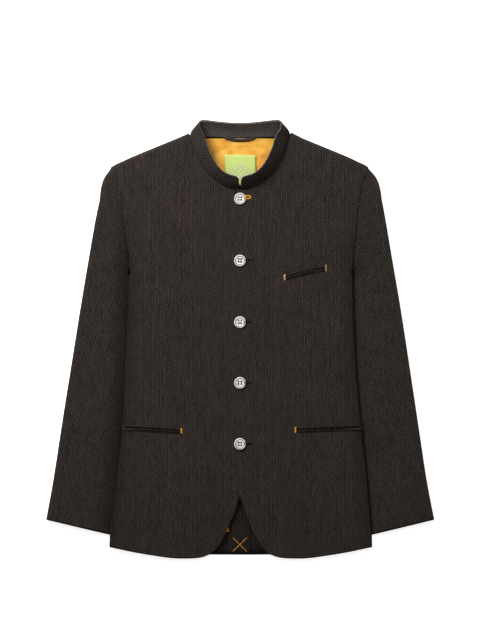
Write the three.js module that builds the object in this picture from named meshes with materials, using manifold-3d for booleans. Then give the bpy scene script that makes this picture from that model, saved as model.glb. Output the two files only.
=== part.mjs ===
// Five-button jacket with a stand collar, laid out flat on its back.
// Millimetres. +X runs to the wearer's left, +Y to the collar and +Z up off the table.
// Left and right are the wearer's. "out" is the distance from the centre line to either side.
import * as THREE from 'three';
import { mergeVertices } from 'three/addons/utils/BufferGeometryUtils.js';
import Module from 'manifold-3d';

const wasm = await Module();
wasm.setup();

// Cloth and seams
const clothWall = 1.2;
const trimWall = 1.0;
const seamGap = 0.4;
const floorLayer = clothWall / 2;

// Body
const frontRise = 11;
const lapOut = 16.5;
const lapStep = 1.0;
const lapFade = { from: 20, to: 46 };
const sideFoldRadius = 3;
const sideTurnUnder = 58;
const underarmY = 112;
const shoulderRoll = { reach: 7, drop: 6.2, slopeCosine: 0.917 };
const rollOut = { from: 80, to: 88 };
const chestRise = { height: 3, y: 150, reachY: 130, out: 75, reachOut: 95 };
const shoulderLift = { height: 2, from: 120, to: 260 };
const hemFall = { height: 3.4, from: -230, to: -365, out: 175, endOut: 215 };
const creaseReach = 185;

// Sleeves
const sleeveUnderBody = 3.3;
const sleeveCrown = { shoulder: 12.6, shoulderY: 260, underarm: 10.2, cuff: 8.2, cuffY: -334 };
const sleeveRiseWidth = 38;
const sleeveRollReach = 4.5;
const sleeveCreasePart = 0.7;
const sleeveReturn = 24;
const hiddenWidth = { underarm: 44, underarmY: 110, cuff: 28, cuffY: -334, clearance: 1 };

// Neck, collar and trims
const collarBulge = 2;
const collarStations = 36;
const liningWall = 1.0;
const liningPuff = { height: 2.4, reach: 58, startBelow: 20 };
const labelGrid = 4;
const label = { width: 53, height: 62, centreX: 0.5, topY: 317, tilt: -0.02 };
const loop = { halfSpan: 25, sag: 6, radius: 1.4, y: 345, steps: 12, curveSegments: 4 };
const button = {
  radius: 10, height: 3.2, holeRadius: 1.1, holePitch: 3.8, seat: 0.5, segments: 20, holeSegments: 6,
};
const buttonRows = [{ y: 241.7 }, { y: 135.7 }, { y: 30.3 }, { y: -73.6 }, { y: -178.2 }];
const jet = { width: 3.6, slot: 0.9, lift: 0.35 };
const ventFacing = { left: 19, right: 21, top: -250, bottom: -366, columns: 3, rows: 5 };

// Side line: the armhole from the shoulder point to the underarm, then the folded side to the hem.
const sideLine = [
  { y: 296, right: 219, left: 217 },
  { y: 266, right: 213, left: 209.5 },
  { y: 228, right: 203, left: 203 },
  { y: 180, right: 194.5, left: 199 },
  { y: 127, right: 190.5, left: 194 },
  { y: 80, right: 191, left: 195 },
  { y: 15, right: 194, left: 196 },
  { y: -70, right: 198, left: 201.5 },
  { y: -150, right: 200.5, left: 208.5 },
  { y: -215, right: 209, left: 216.5 },
  { y: -300, right: 219.5, left: 224.5 },
  { y: -335, right: 224, left: 227 },
  { y: -356, right: 224.5, left: 227.2 },
];

// Centre edge of a front: straight beside the buttons, then the rounded cutaway to the hem.
const centreLine = [
  { y: -365, out: 46 },
  { y: -354.7, out: 36 },
  { y: -336, out: 24.6 },
  { y: -317, out: 17.3 },
  { y: -300, out: 11 },
  { y: -282, out: 5 },
  { y: -270, out: 0 },
  { y: -245, out: -7.5 },
  { y: -212, out: -13.5 },
  { y: -175, out: -lapOut },
  { y: 257, out: -lapOut },
];

// Hem of a front, from the end of its cutaway to the folded side.
const hemLine = [
  { out: 46, y: -365 },
  { out: 57, y: -370.6 },
  { out: 72, y: -374.8 },
  { out: 106, y: -375.4 },
  { out: 149, y: -370.4 },
  { out: 190, y: -363.6 },
  { out: 225, y: -355.5 },
];

// Neck seam of a front, from the centre to the shoulder, and the shoulder seam beyond it.
const neckLine = [
  { out: -17, y: 257 },
  { out: 18, y: 257.3 },
  { out: 40, y: 269.5 },
  { out: 55, y: 281.5 },
  { out: 69, y: 300.5 },
  { out: 79, y: 320.5 },
  { out: 85, y: 340 },
  { out: 87.5, y: 353 },
];
const shoulderLine = [
  { out: 87.5, y: 353 },
  { out: 108, y: 345.4 },
  { out: 141, y: 331.6 },
  { out: 157, y: 325 },
  { out: 199.5, y: 307.5 },
  { out: 219, y: 296 },
];

// Where each lengthwise line of a front starts at the hem and ends at the neck or shoulder.
const frontColumns = [
  { top: -16.5, hem: 46 },
  { top: 1, hem: 56 },
  { top: 18, hem: 70 },
  { top: 40, hem: 86 },
  { top: 55, hem: 102 },
  { top: 69, hem: 117 },
  { top: 79, hem: 130 },
  { top: 85, hem: 142 },
  { top: 87.5, hem: 153 },
  { top: 108, hem: 166 },
  { top: 141, hem: 182 },
  { top: 172, hem: 197 },
  { top: 199, hem: 211 },
  { top: 219, hem: 225 },
];

// Heights at the side line of the rows below the underarm, and the matching places on the armhole
// and on the outer fold of the sleeve above it. "inset" is how far the back armhole lies inside.
const sideRows = [-356, -335, -300, -262, -224, -186, -148, -110, -72, -34, 4, 42, 78, underarmY];
const armholeRows = [
  { seamY: 270, outerY: 294, inset: 0 },
  { seamY: 248, outerY: 284, inset: 0 },
  { seamY: 222, outerY: 268, inset: 0 },
  { seamY: 196, outerY: 245, inset: 0 },
  { seamY: 170, outerY: 215, inset: 4 },
  { seamY: 148, outerY: 185, inset: 14 },
  { seamY: 127, outerY: 158, inset: 30 },
];
const sleeveRows = [
  { seamY: 110, outerY: 138 },
  { seamY: 84, outerY: 110 },
  { seamY: 46, outerY: 72 },
  { seamY: 8, outerY: 34 },
  { seamY: -30, outerY: -4 },
  { seamY: -68, outerY: -42 },
  { seamY: -106, outerY: -80 },
  { seamY: -144, outerY: -118 },
  { seamY: -182, outerY: -156 },
  { seamY: -220, outerY: -194 },
  { seamY: -258, outerY: -232 },
  { seamY: -296, outerY: -270 },
  { seamY: -334.5, outerY: -308.4 },
];

// Outer fold of the sleeves, from the shoulder point to the cuff.
const sleeveLine = [
  { y: 294, right: 222, left: 220.5 },
  { y: 284, right: 227, left: 229 },
  { y: 262, right: 234.3, left: 238 },
  { y: 239, right: 241.5, left: 244 },
  { y: 204, right: 248.5, left: 250.3 },
  { y: 135, right: 260.6, left: 262 },
  { y: 67, right: 272, left: 273.8 },
  { y: -36, right: 288.5, left: 289.8 },
  { y: -105, right: 299.6, left: 300.1 },
  { y: -174, right: 310.3, left: 310.5 },
  { y: -243, right: 320.8, left: 320.8 },
  { y: -308.4, right: 332.8, left: 333.7 },
];

// Stand collar, from its front end round to the centre back: seam line and top edge.
const collarTable = [
  { seamOut: 0.45, seamY: 258.2, turned: 0, topOut: 4.6, topY: 277.4, topZ: 35.5 },
  { seamOut: 16, seamY: 258.5, turned: 0, topOut: 14.5, topY: 280, topZ: 35.5 },
  { seamOut: 38.5, seamY: 270.7, turned: 0, topOut: 27, topY: 285, topZ: 35.5 },
  { seamOut: 54, seamY: 283, turned: 0, topOut: 38.5, topY: 295.5, topZ: 35 },
  { seamOut: 67.8, seamY: 301.7, turned: 0, topOut: 48, topY: 311, topZ: 34.2 },
  { seamOut: 77.8, seamY: 321.6, turned: 0, topOut: 55.5, topY: 328, topZ: 33.4 },
  { seamOut: 83.6, seamY: 340.4, turned: 0.34, topOut: 61, topY: 345.5, topZ: 32 },
  { seamOut: 85.2, seamY: 349.6, turned: 0.6, topOut: 65.2, topY: 360, topZ: 31 },
  { seamOut: 83.6, seamY: 353, turned: 0.86, topOut: 67.2, topY: 370.5, topZ: 29.6 },
  { seamOut: 77, seamY: 351.6, turned: 0.98, topOut: 63.5, topY: 375.6, topZ: 28.4 },
  { seamOut: 60, seamY: 349, turned: 1, topOut: 51, topY: 374.4, topZ: 27.6 },
  { seamOut: 30, seamY: 347.6, turned: 1, topOut: 26, topY: 371.6, topZ: 27.2 },
];
const collarBack = { seamY: 347.2, seamZ: 1.5, topY: 370, topZ: 27 };
const collarEndRows = [
  { along: 0, out: 0.45 },
  { along: 0.3, out: 0.7 },
  { along: 0.5, out: 3 },
  { along: 0.8, out: 3.8 },
  { along: 1, out: 6.2 },
];

// Neck edge and hem of the back panel.
const backNeckLine = [
  { out: 0, y: 345.4 },
  { out: 30, y: 345.8 },
  { out: 60, y: 347.2 },
  { out: 78, y: 349.8 },
  { out: 87.5, y: 353 },
];
const backHemLine = [
  { out: 0, y: -368.9 },
  { out: 50, y: -368.9 },
  { out: 110, y: -366.5 },
  { out: 165, y: -361.5 },
];
const backColumns = [
  { top: 0, hem: 0 },
  { top: 30, hem: 0.2 },
  { top: 60, hem: 0.4 },
  { top: 78, hem: 0.55 },
  { top: 87.5, hem: 0.66 },
  { top: 130, hem: 0.78 },
  { top: 175, hem: 0.9 },
  { top: 219, hem: 1 },
];

// Pocket jets, from the inner tack to the outer end.
const chestPocket = { innerOut: 76.5, innerY: 106.6, outerOut: 147, outerY: 122.6, bow: 1.2, stations: 8 };
const lowerJetPlan = { beforeFold: 8, stations: 9 };
const lowerPockets = {
  left: { innerOut: 95, innerY: -154.3, outerY: -150.6 },
  right: { innerOut: 101, innerY: -156.4, outerY: -151 },
};

// Creases that are large enough to shape the cloth: soft troughs across the sleeves and fronts.
const creases = [
  { out: 268, y: 60, length: 60, width: 20, depth: 1.5, turn: -0.5 },
  { out: 262, y: 8, length: 52, width: 18, depth: 1.3, turn: 0.35 },
  { out: 284, y: -60, length: 60, width: 22, depth: 1.1, turn: -0.4 },
  { out: 232, y: 150, length: 46, width: 20, depth: 1.6, turn: 0.9 },
  { out: 165, y: 90, length: 70, width: 24, depth: 1.4, turn: 0.95 },
  { out: 150, y: -230, length: 90, width: 26, depth: 1.2, turn: 1.35 },
];

const materials = {
  cloth: new THREE.MeshStandardMaterial({ color: 0x35302d, roughness: 0.92, metalness: 0 }),
  lining: new THREE.MeshStandardMaterial({ color: 0xe39a25, roughness: 0.45, metalness: 0 }),
  label: new THREE.MeshStandardMaterial({ color: 0xa9d24a, roughness: 0.6, metalness: 0 }),
  button: new THREE.MeshStandardMaterial({ color: 0xc9c8c4, roughness: 0.3, metalness: 0 }),
  loop: new THREE.MeshStandardMaterial({ color: 0x1c1a1b, roughness: 0.8, metalness: 0 }),
};

const lerp = THREE.MathUtils.lerp;
const degrees = THREE.MathUtils.degToRad;
const bell = (value) => Math.exp(-value * value);

// Rises smoothly from 0 at "from" to 1 at "to", in either direction.
function ease(from, to, value) {
  const t = THREE.MathUtils.clamp((value - from) / (to - from), 0, 1);
  return t * t * (3 - 2 * t);
}

// A smooth curve through the rows of a table, with no overshoot between them.
function throughTable(rows, input, output) {
  const sorted = [...rows].sort((a, b) => a[input] - b[input]);
  const at = sorted.map((row) => row[input]);
  const value = sorted.map((row) => row[output]);
  const slopes = [];
  for (let i = 0; i < at.length - 1; i++) {
    slopes.push((value[i + 1] - value[i]) / (at[i + 1] - at[i]));
  }
  const tangents = at.map((_, i) => {
    if (i === 0) return slopes[0];
    if (i === at.length - 1) return slopes[i - 1];
    const before = slopes[i - 1];
    const after = slopes[i];
    return before * after <= 0 ? 0 : (2 * before * after) / (before + after);
  });
  return (x) => {
    const held = THREE.MathUtils.clamp(x, at[0], at[at.length - 1]);
    let i = 0;
    while (i < at.length - 2 && held > at[i + 1]) i++;
    const width = at[i + 1] - at[i];
    const t = (held - at[i]) / width;
    const t2 = t * t;
    const t3 = t2 * t;
    return (2 * t3 - 3 * t2 + 1) * value[i] + (t3 - 2 * t2 + t) * width * tangents[i]
      + (3 * t2 - 2 * t3) * value[i + 1] + (t3 - t2) * width * tangents[i + 1];
  };
}

const sides = {
  left: {
    sign: 1,
    edge: throughTable(sideLine, 'y', 'left'),
    sleeve: throughTable(sleeveLine, 'y', 'left'),
  },
  right: {
    sign: -1,
    edge: throughTable(sideLine, 'y', 'right'),
    sleeve: throughTable(sleeveLine, 'y', 'right'),
  },
};
const centreOut = throughTable(centreLine, 'y', 'out');
const hemY = throughTable(hemLine, 'out', 'y');
const neckY = throughTable(neckLine, 'out', 'y');
const shoulderY = throughTable(shoulderLine, 'out', 'y');
const backNeckY = throughTable(backNeckLine, 'out', 'y');
const backHemY = throughTable(backHemLine, 'out', 'y');
const junctionOut = neckLine[neckLine.length - 1].out;
const armholeTopY = sideLine[0].y;

// A wall of cloth on a grid of middle points. pointAt gives null where the grid has no cloth, and the
// wall is lifted off those points by "lift" along their normals.
function clothSolid(columns, rows, pointAt, wall, lift = 0) {
  const points = [];
  for (let i = 0; i < rows; i++) {
    for (let j = 0; j < columns; j++) points.push(pointAt(j, i));
  }
  const at = (j, i) => (j < 0 || i < 0 || j >= columns || i >= rows ? null : points[i * columns + j]);
  const present = (j, i) => Boolean(at(j, i) && at(j + 1, i) && at(j, i + 1) && at(j + 1, i + 1));
  const positions = [];
  const across = new THREE.Vector3();
  const along = new THREE.Vector3();
  for (let i = 0; i < rows; i++) {
    for (let j = 0; j < columns; j++) {
      const point = at(j, i) ?? new THREE.Vector3();
      across.subVectors(at(j + 1, i) ?? point, at(j - 1, i) ?? point);
      along.subVectors(at(j, i + 1) ?? point, at(j, i - 1) ?? point);
      const normal = across.clone().cross(along).normalize();
      const outer = point.clone().addScaledVector(normal, lift + wall / 2);
      const inner = point.clone().addScaledVector(normal, lift - wall / 2);
      positions.push(outer.x, outer.y, outer.z, inner.x, inner.y, inner.z);
    }
  }
  const outerIndex = (j, i) => 2 * (i * columns + j);
  const innerIndex = (j, i) => outerIndex(j, i) + 1;
  const triangles = [];
  const addRim = (j0, i0, j1, i1) => {
    triangles.push(outerIndex(j1, i1), outerIndex(j0, i0), innerIndex(j0, i0));
    triangles.push(outerIndex(j1, i1), innerIndex(j0, i0), innerIndex(j1, i1));
  };
  for (let i = 0; i < rows - 1; i++) {
    for (let j = 0; j < columns - 1; j++) {
      if (!present(j, i)) continue;
      triangles.push(outerIndex(j, i), outerIndex(j + 1, i), outerIndex(j + 1, i + 1));
      triangles.push(outerIndex(j, i), outerIndex(j + 1, i + 1), outerIndex(j, i + 1));
      triangles.push(innerIndex(j, i), innerIndex(j + 1, i + 1), innerIndex(j + 1, i));
      triangles.push(innerIndex(j, i), innerIndex(j, i + 1), innerIndex(j + 1, i + 1));
      if (!present(j, i - 1)) addRim(j, i, j + 1, i);
      if (!present(j + 1, i)) addRim(j + 1, i, j + 1, i + 1);
      if (!present(j, i + 1)) addRim(j + 1, i + 1, j, i + 1);
      if (!present(j - 1, i)) addRim(j, i + 1, j, i);
    }
  }
  return closedGeometry(positions, triangles);
}

// Keeps the points that the triangles use, and turns the faces outward.
function closedGeometry(positions, triangles) {
  const used = new Map();
  const kept = [];
  const index = triangles.map((vertex) => {
    if (!used.has(vertex)) {
      used.set(vertex, used.size);
      kept.push(positions[3 * vertex], positions[3 * vertex + 1], positions[3 * vertex + 2]);
    }
    return used.get(vertex);
  });
  let volume = 0;
  const corner = (k) => new THREE.Vector3().fromArray(kept, 3 * index[k]);
  for (let k = 0; k < index.length; k += 3) {
    volume += corner(k).dot(corner(k + 1).cross(corner(k + 2)));
  }
  if (volume < 0) index.reverse();
  const geometry = new THREE.BufferGeometry();
  geometry.setAttribute('position', new THREE.Float32BufferAttribute(kept, 3));
  geometry.setIndex(index);
  geometry.computeVertexNormals();
  return geometry;
}

// How deep the soft creases press the cloth at a place.
function creaseDepth(out, y) {
  return creases.reduce((sum, crease) => {
    const dx = out - crease.out;
    const dy = y - crease.y;
    const along = dx * Math.cos(crease.turn) + dy * Math.sin(crease.turn);
    const across = -dx * Math.sin(crease.turn) + dy * Math.cos(crease.turn);
    return sum + crease.depth * bell(across / crease.width) * bell(along / crease.length);
  }, 0);
}

// Middle height of the fronts before they roll over the shoulders.
function frontHeight(out, y) {
  const chest = chestRise.height * bell((y - chestRise.y) / chestRise.reachY)
    * bell((Math.max(Math.abs(out), lapFade.to) - chestRise.out) / chestRise.reachOut);
  const shoulder = shoulderLift.height * ease(shoulderLift.from, shoulderLift.to, y);
  const hem = hemFall.height * ease(hemFall.from, hemFall.to, y) * (1 - ease(hemFall.out, hemFall.endOut, out));
  const crease = out < creaseReach && y < underarmY ? creaseDepth(out, y) : 0;
  return frontRise + chest + shoulder - hem - crease;
}

// The shoulder roll: a half turn from the front over to the back. "plain" spaces the same rows where
// the panel ends at the neck instead.
const frontRollRows = [
  { turn: 0, plain: 6.6 },
  { turn: 35, plain: 4.3 },
  { turn: 70, plain: 2.1 },
  { turn: 105, plain: 0 },
];
const backRollRows = [
  { turn: 180, plain: 6.6 },
  { turn: 150, plain: 3 },
  { turn: 112, plain: 0 },
];
function rollInset(row, amount) {
  const rolled = shoulderRoll.reach * (1 - Math.sin(degrees(row.turn))) / shoulderRoll.slopeCosine;
  return lerp(row.plain, rolled, amount);
}
const rollFall = (turn) => shoulderRoll.drop * (1 - Math.cos(degrees(turn)));

// Fronts
const frontSideRows = [
  ...sideRows,
  ...armholeRows.map((row) => row.seamY).sort((a, b) => a - b),
];
const underarmRow = sideRows.length - 1;
const frontRowCount = frontSideRows.length + frontRollRows.length;
const foldTurns = [45, 90, 135, 180];
const flapSteps = [14, 30, 44, 51, sideTurnUnder];
const mainColumns = frontColumns.length;
const frontColumnCount = mainColumns + foldTurns.length + flapSteps.length;

const foldCentre = (side, y) => side.edge(y) - sideFoldRadius - clothWall / 2;
const topY = (out) => (out < junctionOut ? neckY(out) : shoulderY(out));

// How wide a strip of the sleeve lies hidden under the body at a height.
function hiddenAt(y) {
  const { underarm, cuff, cuffY } = hiddenWidth;
  const t = (hiddenWidth.underarmY - y) / (hiddenWidth.underarmY - cuffY);
  return lerp(underarm, cuff, THREE.MathUtils.clamp(t, 0, 1));
}

const flapFall = { pastSleeve: 2, beforeSeam: 1 };
const flapArmholeDrops = [27, 15, 6];
const flapHemDrops = [5.5, 1.5];

// Height of the turned-under side: on the sleeve near the fold, on the table at the side seam.
function flapHeight(inward, y) {
  const fallStart = hiddenAt(y) + flapFall.pastSleeve;
  const fallEnd = sideTurnUnder - flapFall.beforeSeam;
  return lerp(frontRise - 2 * sideFoldRadius, floorLayer, ease(fallStart, fallEnd, inward));
}

// The turned-under side ends in the lower curve of the armhole, and its hem follows the back's.
function flapDrop(inward, rowIndex) {
  const part = inward / sideTurnUnder;
  const armhole = flapArmholeDrops[underarmRow - rowIndex] ?? 0;
  const hem = flapHemDrops[rowIndex] ?? 0;
  return part * (armhole + hem);
}

function frontPlan(side, column, row) {
  const sideY = frontSideRows[Math.min(row, frontSideRows.length - 1)];
  const shape = frontColumns[column];
  const lastColumn = column === mainColumns - 1;
  const edgeOut = row <= underarmRow ? foldCentre(side, sideY) : side.edge(sideY);
  const topOut = lastColumn ? side.edge(armholeTopY) : shape.top;
  const columnTop = lastColumn ? armholeTopY : topY(topOut);
  const columnHem = column === 0 ? centreLine[0].y : hemY(shape.hem);
  if (row >= frontSideRows.length) {
    const rolled = ease(rollOut.from, rollOut.to, topOut);
    const roll = frontRollRows[row - frontSideRows.length];
    const y = columnTop - rollInset(roll, rolled);
    const out = column === 0 ? -lapOut : lastColumn ? side.edge(y) : topOut;
    return { out, y, rolled, turn: roll.turn };
  }
  const rise = (sideY - frontSideRows[0]) / (armholeTopY - frontSideRows[0]);
  const y = lerp(columnHem, columnTop, rise);
  const centreY = lerp(centreLine[0].y, topY(-lapOut), rise);
  const hemPart = (shape.hem - centreLine[0].out) / (frontColumns[mainColumns - 1].hem - centreLine[0].out);
  const topPart = (shape.top + lapOut) / (frontColumns[mainColumns - 1].top + lapOut);
  const part = lastColumn ? 1 : lerp(hemPart, topPart, rise);
  const out = lerp(centreOut(centreY), edgeOut, part);
  return { out, y: lastColumn ? sideY : y, rolled: 0, turn: 0 };
}

function frontPoint(side, lap, column, row) {
  if (column < mainColumns) {
    const place = frontPlan(side, column, row);
    const lapped = lap * lapStep * (1 - ease(lapFade.from, lapFade.to, place.out));
    const z = frontHeight(place.out, place.y) + lapped - place.rolled * rollFall(place.turn);
    return new THREE.Vector3(side.sign * place.out, place.y, z);
  }
  if (row > underarmRow) return null;
  const y = sideRows[row];
  const centre = foldCentre(side, y);
  const foldStep = column - mainColumns;
  if (foldStep < foldTurns.length) {
    const turn = degrees(foldTurns[foldStep]);
    const out = centre + sideFoldRadius * Math.sin(turn);
    return new THREE.Vector3(side.sign * out, y, frontRise - sideFoldRadius * (1 - Math.cos(turn)));
  }
  const inward = flapSteps[foldStep - foldTurns.length];
  return new THREE.Vector3(side.sign * (centre - inward), y - flapDrop(inward, row), flapHeight(inward, y));
}

const makeFront = (side, lap) => clothSolid(frontColumnCount, frontRowCount,
  (column, row) => frontPoint(side, lap, column, row), clothWall);

// Sleeves. A row runs from the outer fold to the seam or crease at the body, then on under the body.
const allSleeveRows = [...armholeRows, ...sleeveRows];
const firstFreeRow = armholeRows.length;

function sleeveRow(side, index) {
  const row = allSleeveRows[index];
  const outer = new THREE.Vector2(side.sleeve(row.outerY), row.outerY);
  const seam = new THREE.Vector2(side.edge(row.seamY) + seamGap, row.seamY);
  const inwardStep = seam.clone().sub(outer);
  const width = inwardStep.length();
  inwardStep.normalize();
  const free = index >= firstFreeRow;
  const hidden = free ? hiddenAt(row.seamY) : row.inset;
  const crown = row.seamY > underarmY
    ? lerp(sleeveCrown.underarm, sleeveCrown.shoulder, ease(underarmY, sleeveCrown.shoulderY, row.seamY))
    : lerp(sleeveCrown.cuff, sleeveCrown.underarm, ease(sleeveCrown.cuffY, underarmY, row.seamY));
  const seamHeight = free ? sleeveUnderBody : frontHeight(seam.x, row.seamY);
  return { outer, inwardStep, width, hidden, crown, seamHeight, free };
}

// A point of a sleeve row, "inward" from its outer fold, at height z.
function sleevePlace(side, row, inward, z) {
  const x = row.outer.x + row.inwardStep.x * inward;
  const y = row.outer.y + row.inwardStep.y * inward;
  return new THREE.Vector3(side.sign * x, y, z);
}

const sleeveRollTurns = [30, 60, 90, 125, 155, 180];
const sleeveMainParts = [0, 0.12, 0.28, 0.46, 0.66, 0.84, 1];
const sleeveHiddenParts = [0.97, 0.55, 0.12];
const sleeveReturnSteps = [16, sleeveReturn];
const sleeveTopColumns = sleeveHiddenParts.length + sleeveMainParts.length
  + sleeveRollTurns.length + sleeveReturnSteps.length;

function sleeveTopPoint(side, column, index) {
  const row = sleeveRow(side, index);
  if (column < sleeveHiddenParts.length) {
    if (!row.free) return null;
    const part = sleeveHiddenParts[column];
    const z = column === 0 ? floorLayer + clothWall + seamGap : sleeveUnderBody;
    return sleevePlace(side, row, row.width + row.hidden * part, z);
  }
  const rollHeight = (row.crown - floorLayer) / 2;
  const rollReach = Math.min(rollHeight, sleeveRollReach);
  const rollStart = clothWall / 2 + rollReach;
  const mainStep = column - sleeveHiddenParts.length;
  if (mainStep < sleeveMainParts.length) {
    const fromSeam = sleeveMainParts[mainStep] * (row.width - rollStart);
    const inward = row.width - fromSeam;
    const rise = row.free ? ease(0, sleeveRiseWidth, fromSeam) : ease(0, row.width - rollStart, fromSeam);
    const place = sleevePlace(side, row, inward, 0);
    const nearFold = ease(row.width * sleeveCreasePart, row.width, fromSeam);
    const pressed = creaseDepth(Math.abs(place.x), place.y) * rise * (1 - nearFold);
    place.z = lerp(row.seamHeight, row.crown, rise) - pressed;
    return place;
  }
  const rollStep = mainStep - sleeveMainParts.length;
  if (rollStep < sleeveRollTurns.length) {
    const turn = degrees(sleeveRollTurns[rollStep]);
    const inward = rollStart - rollReach * Math.sin(turn);
    return sleevePlace(side, row, inward, floorLayer + rollHeight * (1 + Math.cos(turn)));
  }
  return sleevePlace(side, row, sleeveReturnSteps[rollStep - sleeveRollTurns.length], floorLayer);
}

const sleeveUnderParts = [0, 0.3, 0.62, 1];
function sleeveUnderPoint(side, column, index) {
  const row = sleeveRow(side, index);
  const start = sleeveReturn + seamGap;
  return sleevePlace(side, row, lerp(start, row.width + row.hidden, sleeveUnderParts[column]), floorLayer);
}

const makeSleeveTop = (side) => clothSolid(sleeveTopColumns, allSleeveRows.length,
  (column, row) => sleeveTopPoint(side, column, row), clothWall);
const makeSleeveUnder = (side) => clothSolid(sleeveUnderParts.length, allSleeveRows.length,
  (column, row) => sleeveUnderPoint(side, column, row), clothWall);

// Back: from the right side seam to the left one, on the table.
const backArmholeIndexes = armholeRows.map((_, i) => armholeRows.length - 1 - i);
const backSideCount = sideRows.length + 1 + backArmholeIndexes.length;
const backRowCount = backSideCount + backRollRows.length;
const backHalf = backColumns.length - 1;

function backSidePlace(side, row) {
  if (row < sideRows.length) {
    const y = sideRows[row] - flapDrop(sideTurnUnder, row);
    return { out: foldCentre(side, sideRows[row]) - sideTurnUnder - 2 * seamGap, y };
  }
  const index = row === sideRows.length ? firstFreeRow : backArmholeIndexes[row - sideRows.length - 1];
  const sleeve = sleeveRow(side, index);
  const inset = sleeve.hidden > 0 ? sleeve.width + sleeve.hidden + hiddenWidth.clearance : sleeve.width;
  const place = sleevePlace(side, sleeve, inset, 0);
  return { out: Math.abs(place.x) - (sleeve.hidden > 0 ? 0 : seamGap), y: place.y };
}

function backPoint(column, row) {
  const side = column < backHalf ? sides.right : sides.left;
  const shape = backColumns[Math.abs(column - backHalf)];
  const outermost = Math.abs(column - backHalf) === backHalf;
  const top = outermost ? side.edge(armholeTopY) : shape.top;
  const columnTop = outermost ? armholeTopY : top < junctionOut ? backNeckY(top) : shoulderY(top);
  if (row >= backSideCount) {
    const step = backRollRows[row - backSideCount];
    const rolled = ease(rollOut.from, rollOut.to, top);
    const y = columnTop - rollInset(step, rolled);
    const z = floorLayer + rolled * (2 * shoulderRoll.drop - rollFall(step.turn));
    const out = outermost ? side.edge(y) : top;
    return new THREE.Vector3(side.sign * out, y, z);
  }
  const place = backSidePlace(side, row);
  const first = backSidePlace(side, 0);
  const rise = (place.y - first.y) / (armholeTopY - first.y);
  const hem = shape.hem * first.out;
  const y = outermost ? place.y : lerp(backHemY(hem), columnTop, rise);
  const topPart = shape.top / backColumns[backHalf].top;
  const out = place.out * lerp(shape.hem, topPart, rise);
  return new THREE.Vector3(side.sign * out, y, floorLayer);
}
const makeBack = () => clothSolid(2 * backHalf + 1, backRowCount, backPoint, clothWall);

// The middle of a front at a place in plan, on the flat facets of its own grid.
function frontAt(side, lap, out, y) {
  const target = new THREE.Vector3(side.sign * out, y, 0);
  const weights = new THREE.Vector3();
  for (let row = 0; row < frontRowCount - 1; row++) {
    for (let column = 0; column < mainColumns - 1; column++) {
      const corner = frontPoint(side, lap, column, row);
      const opposite = frontPoint(side, lap, column + 1, row + 1);
      for (const [dc, dr] of [[1, 0], [0, 1]]) {
        const third = frontPoint(side, lap, column + dc, row + dr);
        const flat = [corner, opposite, third].map((point) => new THREE.Vector3(point.x, point.y, 0));
        if (!THREE.Triangle.getBarycoord(target, ...flat, weights)) continue;
        if (Math.min(weights.x, weights.y, weights.z) < -1e-6) continue;
        target.z = corner.z * weights.x + opposite.z * weights.y + third.z * weights.z;
        return target;
      }
    }
  }
  throw new Error(`no front at ${out}, ${y}`);
}

// The middle of a front on one of the lines of its folded side, at a height between two rows.
function foldAt(side, y, column) {
  const row = sideRows.findIndex((rowY, i) => rowY <= y && y <= sideRows[i + 1]);
  const part = (y - sideRows[row]) / (sideRows[row + 1] - sideRows[row]);
  return frontPoint(side, 0, column, row).lerp(frontPoint(side, 0, column, row + 1), part);
}

// A jet is a narrow strip on a front. Stations run outward; "offset" is its near edge above the
// pocket mouth, or below it when negative.
function makeJet(side, stations, offset) {
  const far = offset + Math.sign(offset) * jet.width;
  const pointAt = (column, row) => {
    const station = stations[column];
    const y = station.y + (row === 0 ? Math.min(offset, far) : Math.max(offset, far));
    return station.fold === undefined ? frontAt(side, 0, station.out, y) : foldAt(side, y, station.fold);
  };
  const lift = side.sign * (clothWall / 2 + jet.lift + trimWall / 2);
  return clothSolid(stations.length, 2, pointAt, trimWall, lift);
}

function chestStations() {
  const { innerOut, innerY, outerOut, outerY, bow, stations } = chestPocket;
  return Array.from({ length: stations }, (_, i) => {
    const t = i / (stations - 1);
    return { out: lerp(innerOut, outerOut, t), y: lerp(innerY, outerY, t) + 4 * bow * t * (1 - t) };
  });
}

function lowerStations(side, pocket) {
  const outer = foldCentre(side, pocket.outerY) - lowerJetPlan.beforeFold;
  const count = lowerJetPlan.stations;
  const onPanel = Array.from({ length: count }, (_, i) => {
    const t = i / (count - 1);
    return { out: lerp(pocket.innerOut, outer, t), y: lerp(pocket.innerY, pocket.outerY, t) };
  });
  const roundFold = [-1, 0, 1].map((step) => ({ fold: mainColumns + step, y: pocket.outerY }));
  return [...onPanel, ...roundFold];
}

// Collar: stations from the right front end round the back of the neck to the left front end.
function collarCurve(outKey, yKey, zOf, back) {
  const right = collarTable.map((row) => new THREE.Vector3(-row[outKey], row[yKey], zOf(row)));
  const left = collarTable.map((row) => new THREE.Vector3(row[outKey], row[yKey], zOf(row))).reverse();
  return new THREE.CatmullRomCurve3([...right, back, ...left]);
}
const seamHeightAt = (row) => lerp(frontHeight(row.seamOut, row.seamY), collarBack.seamZ, row.turned);
const collarSeam = collarCurve('seamOut', 'seamY', seamHeightAt,
  new THREE.Vector3(0, collarBack.seamY, collarBack.seamZ));
const collarTop = collarCurve('topOut', 'topY', (row) => row.topZ,
  new THREE.Vector3(0, collarBack.topY, collarBack.topZ));

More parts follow.
